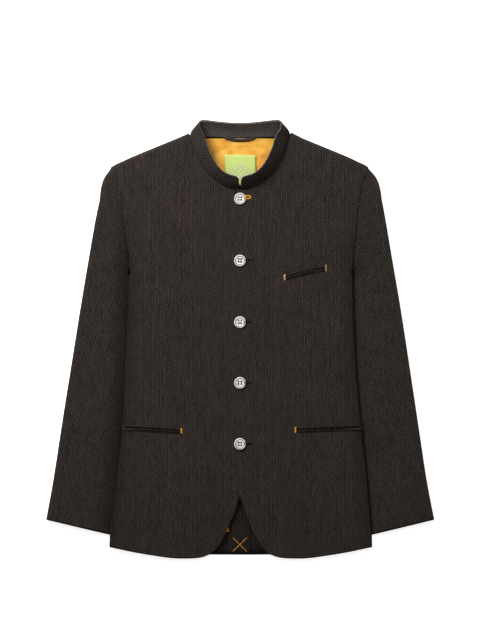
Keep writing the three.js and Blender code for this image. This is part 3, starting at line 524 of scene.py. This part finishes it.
def swellSleeveHead(points, s):
    x, y = points[:, 0] / mm, points[:, 1] / mm
    part = np.clip((y - s["low"]) / (s["high"] - s["low"]), 0, 1)
    out = smoothStep(0, s["reach"], np.abs(x) - np.interp(y, s["ys"], s["ins"]))
    points[:, 0] += np.where(x > 0, s["left"], -s["right"]) * np.sin(np.pi * part) ** 1.5 * out * mm


# How the collar's opening is narrowed, up to the height where the neck begins.
collarEnds = {"narrow": 1.7, "from": 262, "to": 273, "inner": 8, "outer": 22, "top": 300}


def narrowNotch(points, s):
    x, y = points[:, 0] / mm, points[:, 1] / mm
    weight = smoothStep(s["from"], s["to"], y) * (1 - smoothStep(s["inner"], s["outer"], np.abs(x)))
    weight *= y < s["top"]
    points[:, 0] -= np.sign(x) * s["narrow"] * weight * mm


# How far the collar's sides stand out at the back of the neck.
collarFlanks = {"left": 4.6, "right": 3.4, "inner": 52, "outer": 66, "low": 347, "high": 360}


def widenFlanks(points, s):
    x, y = points[:, 0] / mm, points[:, 1] / mm
    weight = smoothStep(s["inner"], s["outer"], np.abs(x)) * smoothStep(s["low"], s["high"], y)
    points[:, 0] += np.where(x > 0, s["left"], -s["right"]) * weight * mm


# Where the sleeves meet the fronts' sides: painted shade, darkening the cloth's colour along the crease
# between them. The four values are the strength and reach of the broad painted shade, and the strength and
# reach of the painted dark line along the edge.
paintedHollowShade = {
    "ys": [-356, -215, -70, 80, 127, 188, 240, 290],
    "leftOut": [227.2, 216.5, 201.5, 195, 194, 199.5, 206, 212],
    "rightOut": [224.5, 209, 198, 191, 190.5, 199.5, 206, 210],
    "depth": [1, 1, 1, 1, 1, 0.6, 0.25, 0],
    "sleeve": {"left": (0.14, 18, 0.45, 3.0), "right": (0.60, 20, 0.15, 3.0)},
    "front": {"left": (0.22, 22, 0.40, 2.4), "right": (0.42, 12, 0.10, 2.4)},
}


def hollowShade(points, kind, s):
    x, y = points[:, 0] / mm, points[:, 1] / mm
    edges = [np.interp(y, s["ys"], s[key]) for key in ("leftOut", "rightOut")]
    away = np.abs(x) - np.where(x > 0, edges[0], edges[1])
    shades = []
    for broad, reach, line, near in (s[kind]["left"], s[kind]["right"]):
        shades.append(broad * np.exp(-(away / reach) ** 2) + line * np.exp(-(away / near) ** 2))
    return np.where(x > 0, shades[0], shades[1]) * np.interp(y, s["ys"], s["depth"])


def softUneven(points, amount):
    # Slow and quick swells, by wavelengths in millimetres that don't repeat together.
    x, y = points[:, 0] / mm, points[:, 1] / mm
    slow = np.sin(x / 31 + 1.7 * np.sin(y / 57)) * np.cos(y / 43 + 0.9 * np.sin(x / 61))
    quick = np.sin(x / 11.5 + 1.3 * np.sin(y / 17)) * np.sin(y / 13.7 + 0.8)
    return amount * (slow + 0.3 * quick)


clothMaking = {
    "weld": 0.02 * mm,
    "flatAngle": math.radians(30),
    "shapeAngle": math.radians(100),
    "rimAngle": math.radians(58),
    "smoothAngle": math.radians(50),
    "lieFrom": (2.5, 7.0),        # heights between which the folds begin to press
    "insideUp": 0.3,
    "insideTo": 385,
}


def finerMesh(piece, levels, s):
    # The solid's surface in quads, subdivided with its rims kept sharp.
    mesh = piece.data
    form = bmesh.new()
    form.from_mesh(mesh)
    bmesh.ops.remove_doubles(form, verts=form.verts, dist=s["weld"])
    bmesh.ops.join_triangles(form, faces=form.faces, angle_face_threshold=s["flatAngle"],
                             angle_shape_threshold=s["shapeAngle"])
    sharp = form.edges.layers.float.new("crease_edge")
    for edge in form.edges:
        if len(edge.link_faces) == 2 and edge.calc_face_angle(0) > s["rimAngle"]:
            edge[sharp] = 1.0
    form.to_mesh(mesh)
    form.free()
    finer = piece.modifiers.new("finer", "SUBSURF")
    finer.levels = levels
    finer.render_levels = levels
    finer.boundary_smooth = "PRESERVE_CORNERS"
    bpy.context.view_layer.update()
    made = bpy.data.meshes.new_from_object(piece.evaluated_get(bpy.context.evaluated_depsgraph_get()))
    piece.modifiers.clear()
    piece.data = made
    return made


def finerCloth(name, s, making):
    # A finer skin on its solid, pressed by the folds.
    node = s["node"]
    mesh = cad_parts[node].data.copy()
    mesh.materials.clear()
    piece = bpy.data.objects.new(name, mesh)
    bpy.context.scene.collection.objects.link(piece)
    made = finerMesh(piece, s["levels"], making)
    count = len(made.vertices)
    points = np.empty(count * 3)
    made.vertices.foreach_get("co", points)
    points = points.reshape(count, 3)
    depth = foldDepth(points, s.get("folds", ())) + softUneven(points, s.get("uneven", 0.0))
    if s.get("seams"):
        depth += seamDip(points, armholes)
    low, high = s.get("lieFrom", making["lieFrom"])
    points[:, 2] -= depth * smoothStep(low * mm, high * mm, points[:, 2]) * mm
    if node in ("front_left", "front_right", "back"):
        closeShoulder(points, shoulderClose)
    if node in ("front_left", "front_right"):
        fallAtSide(points, sideFall)
    if node in ("sleeve_top_left", "sleeve_top_right"):
        swellSleeveHead(points, sleeveHead)
    if node in ("collar", "collar_facing"):
        narrowNotch(points, collarEnds)
        widenFlanks(points, collarFlanks)
    made.vertices.foreach_set("co", points.ravel())
    # Painted shade along the fronts' sides and the sleeves beside them, stored as a point attribute
    if node.startswith(("front", "sleeve_top")):
        shade = hollowShade(points, "front" if node.startswith("front") else "sleeve", paintedHollowShade)
        made.attributes.new("paintedShade", "FLOAT", "POINT").data.foreach_set("value", shade)
    made.polygons.foreach_set("use_smooth", [True] * len(made.polygons))
    made.set_sharp_from_angle(angle=making["smoothAngle"])
    made.materials.append(finish[s["finish"]])
    if "inside" in s:                             # what looks up from the table is the inner face
        made.materials.append(finish[s["inside"]])
        for face in made.polygons:
            onInside = face.normal.z > making["insideUp"] and abs(face.center.y) < making["insideTo"] * mm
            face.material_index = 1 if onInside else 0
    made.update()
    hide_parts(node)
    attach(piece, "root")
    return piece


# Each cloth piece: its solid, how finely it is cut, and the flat cut that it was made to.
clothPieces = {
    "frontLeft": {"node": "front_left", "levels": 3, "finish": "body", "folds": frontFolds, "uneven": 0.22,
                  "seams": True, "flat": (0.31, 0.735), "area": 0.176, "rests": ["back"]},
    "frontRight": {"node": "front_right", "levels": 3, "finish": "body", "folds": frontFolds,
                   "uneven": 0.22, "seams": True, "flat": (0.31, 0.735), "area": 0.174, "rests": ["back"]},
    "backPanel": {"node": "back", "levels": 1, "finish": "body", "inside": "inside", "flat": (0.45, 0.73),
                  "area": 0.229, "rests": ["floor"]},
    "sleeveTopLeft": {"node": "sleeve_top_left", "levels": 3, "finish": "leftSleeve",
                      "folds": leftSleeveFolds, "uneven": 0.25, "seams": True, "flat": (0.21, 0.64),
                      "area": 0.080, "rests": ["floor"]},
    "sleeveTopRight": {"node": "sleeve_top_right", "levels": 3, "finish": "rightSleeve",
                       "folds": rightSleeveFolds, "uneven": 0.25, "seams": True, "flat": (0.21, 0.64),
                       "area": 0.082, "rests": ["floor"]},
    "sleeveUnderLeft": {"node": "sleeve_under_left", "levels": 1, "finish": "leftSleeve",
                        "flat": (0.13, 0.62), "area": 0.0512, "rests": ["floor"]},
    "sleeveUnderRight": {"node": "sleeve_under_right", "levels": 1, "finish": "rightSleeve",
                         "flat": (0.13, 0.62), "area": 0.053, "rests": ["floor"]},
    "collarOuter": {"node": "collar", "levels": 2, "finish": "band", "flat": (0.42, 0.036), "area": 0.0135,
                    "rests": ["front_left", "front_right", "back"]},
    "collarInner": {"node": "collar_facing", "levels": 2, "finish": "facing", "flat": (0.41, 0.036),
                    "area": 0.013, "rests": ["collar"]},
    "neckLining": {"node": "lining_back", "levels": 3, "finish": "lining", "folds": liningFolds,
                   "uneven": 0.15, "lieFrom": (0.8, 1.5), "flat": (0.21, 0.121), "area": 0.0233,
                   "rests": ["back"], "slot": "lining"},
    "neckLabel": {"node": "label", "levels": 2, "finish": "label", "uneven": 0.06, "lieFrom": (1.0, 2.0),
                  "flat": (0.053, 0.062), "rests": ["lining_back"], "slot": "label"},
    "ventStrip": {"node": "vent_facing", "levels": 2, "finish": "strip", "flat": (0.04, 0.117),
                  "rests": ["back"]},
}
jetWidth = 0.01          # the narrowest flat side that is taken. The area is that of the real strips.


def jetPiece(node, front, cloth, length, area):
    return {"node": node, "levels": 2, "finish": cloth, "flat": (length, jetWidth), "area": area,
            "rests": [front], "folds": frontFolds}


clothPieces.update({
    "chestJetUpper": jetPiece("chest_jet_upper", "front_left", "band", 0.0723, 0.00026),
    "chestJetLower": jetPiece("chest_jet_lower", "front_left", "band", 0.0723, 0.00026),
    "pocketJetUpperLeft": jetPiece("pocket_jet_upper_left", "front_left", "body", 0.116, 0.00042),
    "pocketJetLowerLeft": jetPiece("pocket_jet_lower_left", "front_left", "body", 0.116, 0.00042),
    "pocketJetUpperRight": jetPiece("pocket_jet_upper_right", "front_right", "body", 0.102, 0.00037),
    "pocketJetLowerRight": jetPiece("pocket_jet_lower_right", "front_right", "body", 0.102, 0.00037),
})

for name, s in clothPieces.items():
    piece = finerCloth(name, s, clothMaking)

print("stage: hanger loop, stitches and buttons")


def addTube(form, path, radius, sides=6):
    # One closed thread along a path, with flat ends.
    rings = []
    for i, point in enumerate(path):
        ahead = path[min(i + 1, len(path) - 1)] - path[max(i - 1, 0)]
        ahead.normalize()
        aside = ahead.cross(Vector((0, 0, 1)))
        if aside.length < 0.1:
            aside = ahead.cross(Vector((0, 1, 0)))
        aside.normalize()
        above = aside.cross(ahead)
        ring = []
        for k in range(sides):
            angle = 2 * math.pi * k / sides
            out = math.cos(angle) * aside + math.sin(angle) * above
            ring.append(form.verts.new(point + radius * out))
        rings.append(ring)
    for low, high in zip(rings, rings[1:]):
        for k in range(sides):
            form.faces.new((low[k], low[(k + 1) % sides], high[(k + 1) % sides], high[k]))
    form.faces.new(rings[0][::-1])
    form.faces.new(rings[-1])


def meshPiece(name, form, material):
    bmesh.ops.recalc_face_normals(form, faces=form.faces)
    mesh = bpy.data.meshes.new(name)
    form.to_mesh(mesh)
    form.free()
    mesh.polygons.foreach_set("use_smooth", [True] * len(mesh.polygons))
    mesh.set_sharp_from_angle(angle=math.radians(60))
    mesh.materials.append(material)
    piece = bpy.data.objects.new(name, mesh)
    bpy.context.scene.collection.objects.link(piece)
    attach(piece, "root")
    return piece


depsgraph = bpy.context.evaluated_depsgraph_get()


def surfaceHeight(x, y):
    # Height of the highest finished cloth at a place.
    hit, place, _, _, _, _ = bpy.context.scene.ray_cast(depsgraph, Vector((x, y, 0.2)), Vector((0, 0, -1)))
    return place.z if hit else 0.0


def onCloth(points, lift):
    return [Vector((x * mm, y * mm, surfaceHeight(x * mm, y * mm) + lift * mm)) for x, y in points]


# Two twisted strands across the back of the neck.
hangerLoop = {"halfSpan": 25, "sag": 4.4, "y": 346.3, "strand": 1.9, "apart": 0.68, "turns": 7, "steps": 90}


def addHangerLoop(s):
    form = bmesh.new()
    low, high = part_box("hanger_loop")
    middle = (low[2] + high[2]) / 2
    for strand in (0, math.pi):
        path = []
        for i in range(s["steps"] + 1):
            part = 2 * i / s["steps"] - 1
            twist = strand + part * math.pi * s["turns"]
            x = part * s["halfSpan"]
            y = s["y"] - s["sag"] * (1 - part * part) + s["apart"] * math.cos(twist)
            z = middle / mm + s["apart"] * math.sin(twist)
            path.append(Vector((x, y, z)) * mm)
        addTube(form, path, s["strand"] * mm)
    loop = meshPiece("hangerCord", form, finish["tape"])
    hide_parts("hanger_loop")


addHangerLoop(hangerLoop)

bpy.context.view_layer.update()
depsgraph = bpy.context.evaluated_depsgraph_get()


def threadRun(form, start, end, lift=0.35, radius=0.3, steps=4, arch=0.25):
    points = []
    for i in range(steps + 1):
        t = i / steps
        points.append((start[0] + (end[0] - start[0]) * t, start[1] + (end[1] - start[1]) * t))
    path = onCloth(points, lift)
    for i, point in enumerate(path):
        point.z += arch * mm * math.sin(math.pi * i / steps)
    addTube(form, path, radius * mm)


# Bar tacks at the pocket ends: name, middle, length, width, lean and thread, in millimetres and radians.
tackStitch = {"spacing": 0.62, "lift": 0.4, "radius": 0.33, "steps": 3, "arch": 0.2}
tackKeys = ("name", "x", "y", "length", "width", "lean", "finish")
barTacks = [dict(zip(tackKeys, row)) for row in (
    ("tackLowerRight", -100.6, -156.4, 9, 2.2, 0.0, "amber"),
    ("tackLowerLeft", 94.6, -154.4, 9, 2.2, 0.0, "amber"),
    ("tackChestInner", 76.2, 106.4, 9.5, 2.6, 0.05, "straw"),
    ("tackChestOuter", 146.8, 122.4, 10.5, 2.0, 0.04, "straw"),
)]


def addBarTack(s, stitch):
    form = bmesh.new()
    count = max(2, round(s["length"] / stitch["spacing"]))
    upX, upY = -math.sin(s["lean"]), math.cos(s["lean"])
    for i in range(count):
        along = (i / (count - 1) - 0.5) * s["length"]
        x, y = s["x"] + upX * along, s["y"] + upY * along
        start = (x - upY * s["width"] / 2, y + upX * s["width"] / 2)
        end = (x + upY * s["width"] / 2, y - upX * s["width"] / 2)
        threadRun(form, start, end, stitch["lift"], stitch["radius"], stitch["steps"], stitch["arch"])
    meshPiece(s["name"], form, finish[s["finish"]])


for s in barTacks:
    addBarTack(s, tackStitch)

# Buttonholes run to the wearer's left of each button. The first is open and amber, the others dark.
holeStitch = {"spacing": 0.72, "lift": 0.35, "radius": 0.3, "steps": 3, "arch": 0.25, "fan": 4}
amberHole = {"slit": 1.1, "reach": 3.4, "finish": "amber"}
darkHole = {"slit": 0.25, "reach": 1.5, "finish": "dark"}
buttonholes = [
    {"y": 244.0, "from": 8.4, "to": 15.4, **amberHole},
    {"y": 136.2, "from": 8.6, "to": 20.6, **darkHole},
    {"y": 30.8, "from": 8.2, "to": 20.2, **darkHole},
    {"y": -73.2, "from": 8.0, "to": 19.8, **darkHole},
    {"y": -177.8, "from": 8.2, "to": 20.0, **darkHole},
]


def addButtonhole(index, s, stitch):
    form = bmesh.new()
    kind = (stitch["lift"], stitch["radius"], stitch["steps"], stitch["arch"])
    count = round((s["to"] - s["from"]) / stitch["spacing"])
    for i in range(count + 1):
        x = s["from"] + (s["to"] - s["from"]) * i / count
        for side in (-1, 1):
            threadRun(form, (x, s["y"] + side * s["slit"]), (x, s["y"] + side * s["reach"]), *kind)
    for i in range(-stitch["fan"], stitch["fan"] + 1):        # the round end
        angle = i * math.pi / (2 * stitch["fan"] + 1)
        inner = (s["to"] + s["slit"] * math.cos(angle), s["y"] + s["slit"] * math.sin(angle))
        outer = (s["to"] + s["reach"] * math.cos(angle), s["y"] + s["reach"] * math.sin(angle))
        threadRun(form, inner, outer, *kind)
    meshPiece(f"buttonhole{index}", form, finish[s["finish"]])


for index, s in enumerate(buttonholes, 1):
    addButtonhole(index, s, holeStitch)

# The turned edge along the collar seam, from the centre out to the shoulder.
collarSeamLine = {
    "outs": [0.2, 17, 39.3, 54.5, 68.4, 78.4, 84.3, 86.2],
    "ys": [257.7, 257.9, 270.1, 282.3, 301.1, 321.1, 340.2, 350.8],
    "zs": [13.6, 13.6, 13.8, 14.0, 13.9, 13.6, 11.6, 8.2],
    "radius": 1.15,
    "steps": 60,
}


def addCollarSeam(s):
    form = bmesh.new()
    path = []
    for i in range(-s["steps"], s["steps"] + 1):
        spot = abs(i) / s["steps"] * (len(s["outs"]) - 1)
        place = [np.interp(spot, range(len(s["outs"])), s[key]) for key in ("outs", "ys", "zs")]
        path.append(Vector((math.copysign(place[0], i) if i else 0, place[1], place[2])) * mm)
    addTube(form, path, s["radius"] * mm, 8)
    meshPiece("collarSeam", form, finish["band"])


# The closed foot of the collar's notch, with a small hook above it.
collarNotch = {
    "low": 258.6, "high": 264.6, "half": 2.6, "z": 14.6,
    "spacing": 0.75, "climb": 0.75, "arch": 0.3, "thread": 0.5,
    "hookX": 0.9, "hookY": 273.6, "hookHalf": 3.4, "hookZ": 31.5, "hookBow": 0.9, "hookRadius": 0.75,
}


def addCollarNotch(s):
    form = bmesh.new()
    count = round((s["high"] - s["low"]) / s["spacing"])
    for i in range(count + 1):
        y = s["low"] + (s["high"] - s["low"]) * i / count
        z = s["z"] + (y - s["low"]) * s["climb"]
        path = [Vector((part * s["half"], y, z + s["arch"] * (1 - part * part))) * mm
                for part in (-1, -0.4, 0.4, 1)]
        addTube(form, path, s["thread"] * mm)
    meshPiece("notchStitches", form, finish["dark"])
    form = bmesh.new()
    bow = [Vector((s["hookX"] + part * s["hookHalf"], s["hookY"] + s["hookBow"] * (1 - part * part),
                   s["hookZ"])) * mm for part in (-1, -0.7, -0.35, 0, 0.35, 0.7, 1)]
    addTube(form, bow, s["hookRadius"] * mm, 8)
    meshPiece("collarHook", form, finish["steel"])


# Painted shade: dark cords in the grooves where the jets are turned in. Their ends across and up the
# jacket, and the cord's half width.
jetShadowLines = [
    {"name": "chestLineUpper", "ends": [(78, 109.3), (145, 124.9)], "bow": 1.8, "radius": 0.7},
    {"name": "chestLineLower", "ends": [(79, 104.5), (144, 119.6)], "bow": 1.8, "radius": 0.7},
    {"name": "lowerLineUpperLeft", "ends": [(97, -152.6), (205, -148.4)], "bow": 0.6, "radius": 1.0},
    {"name": "lowerLineLowerLeft", "ends": [(97, -157.0), (178, -152.6)], "bow": 0.3, "radius": 0.8},
    {"name": "lowerLineUpperRight", "ends": [(-103, -154.4), (-198, -148.6)], "bow": 0.6, "radius": 1.0},
    {"name": "lowerLineLowerRight", "ends": [(-103, -158.6), (-180, -154.0)], "bow": 0.3, "radius": 0.8},
]


jetShadowLineMaking = {"steps": 26, "lift": 0.1}


def addJetShadowLine(s, making):
    form = bmesh.new()
    (startX, startY), (endX, endY) = s["ends"]
    spots = []
    for i in range(making["steps"] + 1):
        t = i / making["steps"]
        bow = 4 * s["bow"] * t * (1 - t)
        spots.append((startX + (endX - startX) * t, startY + (endY - startY) * t + bow))
    addTube(form, onCloth(spots, making["lift"]), s["radius"] * mm)
    # the dark finish stands for the shade down in the groove
    meshPiece(s["name"], form, finish["dark"])


for s in jetShadowLines:
    addJetShadowLine(s, jetShadowLineMaking)


# The dark join of the inner collar and the lining, across the back of the neck.
neckJoin = {"half": 79, "y": 346.5, "bow": 1.6, "z": 3.0, "radius": 1.15, "points": 41}


def addNeckJoin(s):
    form = bmesh.new()
    path = [Vector((part * s["half"], s["y"] + s["bow"] * part * part, s["z"])) * mm
            for part in np.linspace(-1, 1, s["points"])]
    addTube(form, path, s["radius"] * mm, 8)
    meshPiece("neckJoin", form, finish["dark"])


addNeckJoin(neckJoin)
addCollarSeam(collarSeamLine)
addCollarNotch(collarNotch)

# The cross at the back hem and the small arrowhead inside the right cutaway.
crossStitch = {"x": -0.7, "y": -351.8, "reach": 16.8, "start": 0.3, "lift": 0.6, "radius": 0.36,
               "steps": 8, "arch": 0.2}
arrowhead = {"x": -20.8, "y": -326.2, "size": 3.2, "rows": 7, "spread": 0.8, "least": 0.25, "lift": 0.4,
             "radius": 0.36, "steps": 3, "arch": 0.2}


def addCross(s):
    form = bmesh.new()
    for k in range(4):
        angle = math.pi / 4 + k * math.pi / 2
        inner = (s["x"] + s["start"] * math.cos(angle), s["y"] + s["start"] * math.sin(angle))
        outer = (s["x"] + s["reach"] * math.cos(angle), s["y"] + s["reach"] * math.sin(angle))
        threadRun(form, inner, outer, s["lift"], s["radius"], s["steps"], s["arch"])
    meshPiece("hemCross", form, finish["amber"])


def addArrowhead(s):
    form = bmesh.new()
    kind = (s["lift"], s["radius"], s["steps"], s["arch"])
    for i in range(s["rows"]):
        t = i / (s["rows"] - 1)
        half = s["size"] * (1 - t) * s["spread"] + s["least"]
        y = s["y"] + s["size"] * (2 * t - 1)
        threadRun(form, (s["x"] - half, y), (s["x"] + half, y), *kind)
    meshPiece("cutawayTack", form, finish["amber"])


addCross(crossStitch)
addArrowhead(arrowhead)

# Profile points are parts of the radius and of the height, from the middle underneath round to the top.
buttonForm = {
    "radius": 10.0, "height": 3.2, "segments": 48, "holeRadius": 1.5, "holePitch": 4.6, "holeSegments": 16,
    "profile": [(0.0, 0.0), (0.84, 0.0), (0.94, 0.1), (0.99, 0.34), (1.0, 0.55), (0.98, 0.8), (0.93, 0.96),
                (0.87, 1.0), (0.81, 0.96), (0.765, 0.84), (0.74, 0.74), (0.70, 0.70), (0.45, 0.66),
                (0.0, 0.64)],
    "ringFrom": 0.70, "ringTo": 0.83, "ringAbove": 0.5,
    "threadRadius": 0.22, "threadApart": 0.25, "threadSteps": 8, "threadFrom": 0.66, "threadDip": 1.9,
    "threadArch": 0.45, "threadOver": 0.2, "shadedShankHeights": (0.4, 1.0, 1.6), "shadedShankRoom": 0.1,
}
holeCorners = ((-1, -1), (1, -1), (1, 1), (-1, 1))


def drillHole(piece, place, s):
    bpy.ops.mesh.primitive_cylinder_add(vertices=s["holeSegments"], radius=s["holeRadius"] * mm,
                                        depth=20 * mm, location=place)
    drill = bpy.context.object
    cut = piece.modifiers.new("hole", "BOOLEAN")
    cut.object = drill
    cut.solver = "EXACT"
    bpy.context.view_layer.update()
    holed = bpy.data.meshes.new_from_object(piece.evaluated_get(bpy.context.evaluated_depsgraph_get()))
    piece.modifiers.clear()
    piece.data = holed
    bpy.data.objects.remove(drill)


def addButton(index, s):
    low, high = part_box(f"button_{index}")
    middle = Vector(((low[0] + high[0]) / 2, (low[1] + high[1]) / 2, low[2]))
    form = bmesh.new()
    rings = []
    for part, rise in s["profile"]:
        height = rise * s["height"] * mm
        if part == 0:
            rings.append([form.verts.new(middle + Vector((0, 0, height)))])
            continue
        ring = []
        out = part * s["radius"] * mm
        for k in range(s["segments"]):
            angle = 2 * math.pi * k / s["segments"]
            place = Vector((out * math.cos(angle), out * math.sin(angle), height))
            ring.append(form.verts.new(middle + place))
        rings.append(ring)
    steps = zip(rings, rings[1:], s["profile"], s["profile"][1:])
    for inner, outer, (partLow, riseLow), (partHigh, riseHigh) in steps:
        onTop = min(riseLow, riseHigh) > s["ringAbove"]
        onRing = onTop and s["ringFrom"] < (partLow + partHigh) / 2 < s["ringTo"]
        for k in range(s["segments"]):
            n = (k + 1) % s["segments"]
            corners = [ring[j % len(ring)] for ring, j in ((inner, k), (inner, n), (outer, n), (outer, k))]
            face = form.faces.new(list(dict.fromkeys(corners)))
            face.material_index = 1 if onRing else 0
    piece = meshPiece(f"frontButton{index}", form, finish["button"])
    piece.data.materials.append(finish["ring"])
    for corner in holeCorners:
        drillHole(piece, middle + Vector((*corner, 0)) * s["holePitch"] / 2 * mm, s)
    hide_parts(f"button_{index}")
    return middle


# How each button is sewn on: the thread's colour and the pairs of holes that it joins.
buttonThreads = [
    {"finish": "amber", "pairs": [((-1, 1), (1, 1)), ((-1, -1), (1, -1))]},
    {"finish": "dark", "pairs": [((-1, 1), (1, 1)), ((-1, -1), (1, -1))]},
    {"finish": "yellow", "pairs": [((-1, 1), (1, -1)), ((-1, -1), (1, 1))]},
    {"finish": "dark", "pairs": [((-1, 1), (-1, -1)), ((1, 1), (1, -1))]},
    {"finish": "olive", "pairs": [((-1, 1), (1, 1)), ((-1, -1), (1, -1))]},
]


def addButtonThread(index, middle, s, sewn):
    form = bmesh.new()
    top = middle.z + s["threadFrom"] * s["height"] * mm
    steps = s["threadSteps"]
    for number, (first, second) in enumerate(sewn["pairs"]):
        start = Vector((*first, 0)) * s["holePitch"] / 2 * mm
        end = Vector((*second, 0)) * s["holePitch"] / 2 * mm
        arch = (s["threadArch"] + s["threadOver"] * number) * mm
        for side in (-1, 1):
            aside = (end - start).normalized().cross(Vector((0, 0, 1))) * side * s["threadApart"] * mm
            path = []
            for i in range(steps + 1):
                t = i / steps
                place = middle + start.lerp(end, t) + aside
                dip = s["threadDip"] * mm if i in (0, steps) else 0
                place.z = top + arch * math.sin(math.pi * t) - dip
                path.append(place)
            addTube(form, path, s["threadRadius"] * mm)
    meshPiece(f"buttonThread{index}", form, finish[sewn["finish"]])
    form = bmesh.new()                                        # the thread down inside the holes, dark as painted shade
    for corner in holeCorners:
        foot = middle + Vector((*corner, 0)) * s["holePitch"] / 2 * mm
        path = [foot + Vector((0, 0, rise * mm)) for rise in s["shadedShankHeights"]]
        addTube(form, path, (s["holeRadius"] - s["shadedShankRoom"]) * mm, 8)
    meshPiece(f"buttonShadedShank{index}", form, finish["dark"])


for index, sewn in enumerate(buttonThreads, 1):
    middle = addButton(index, buttonForm)
    addButtonThread(index, middle, buttonForm, sewn)

print("stage: finish")
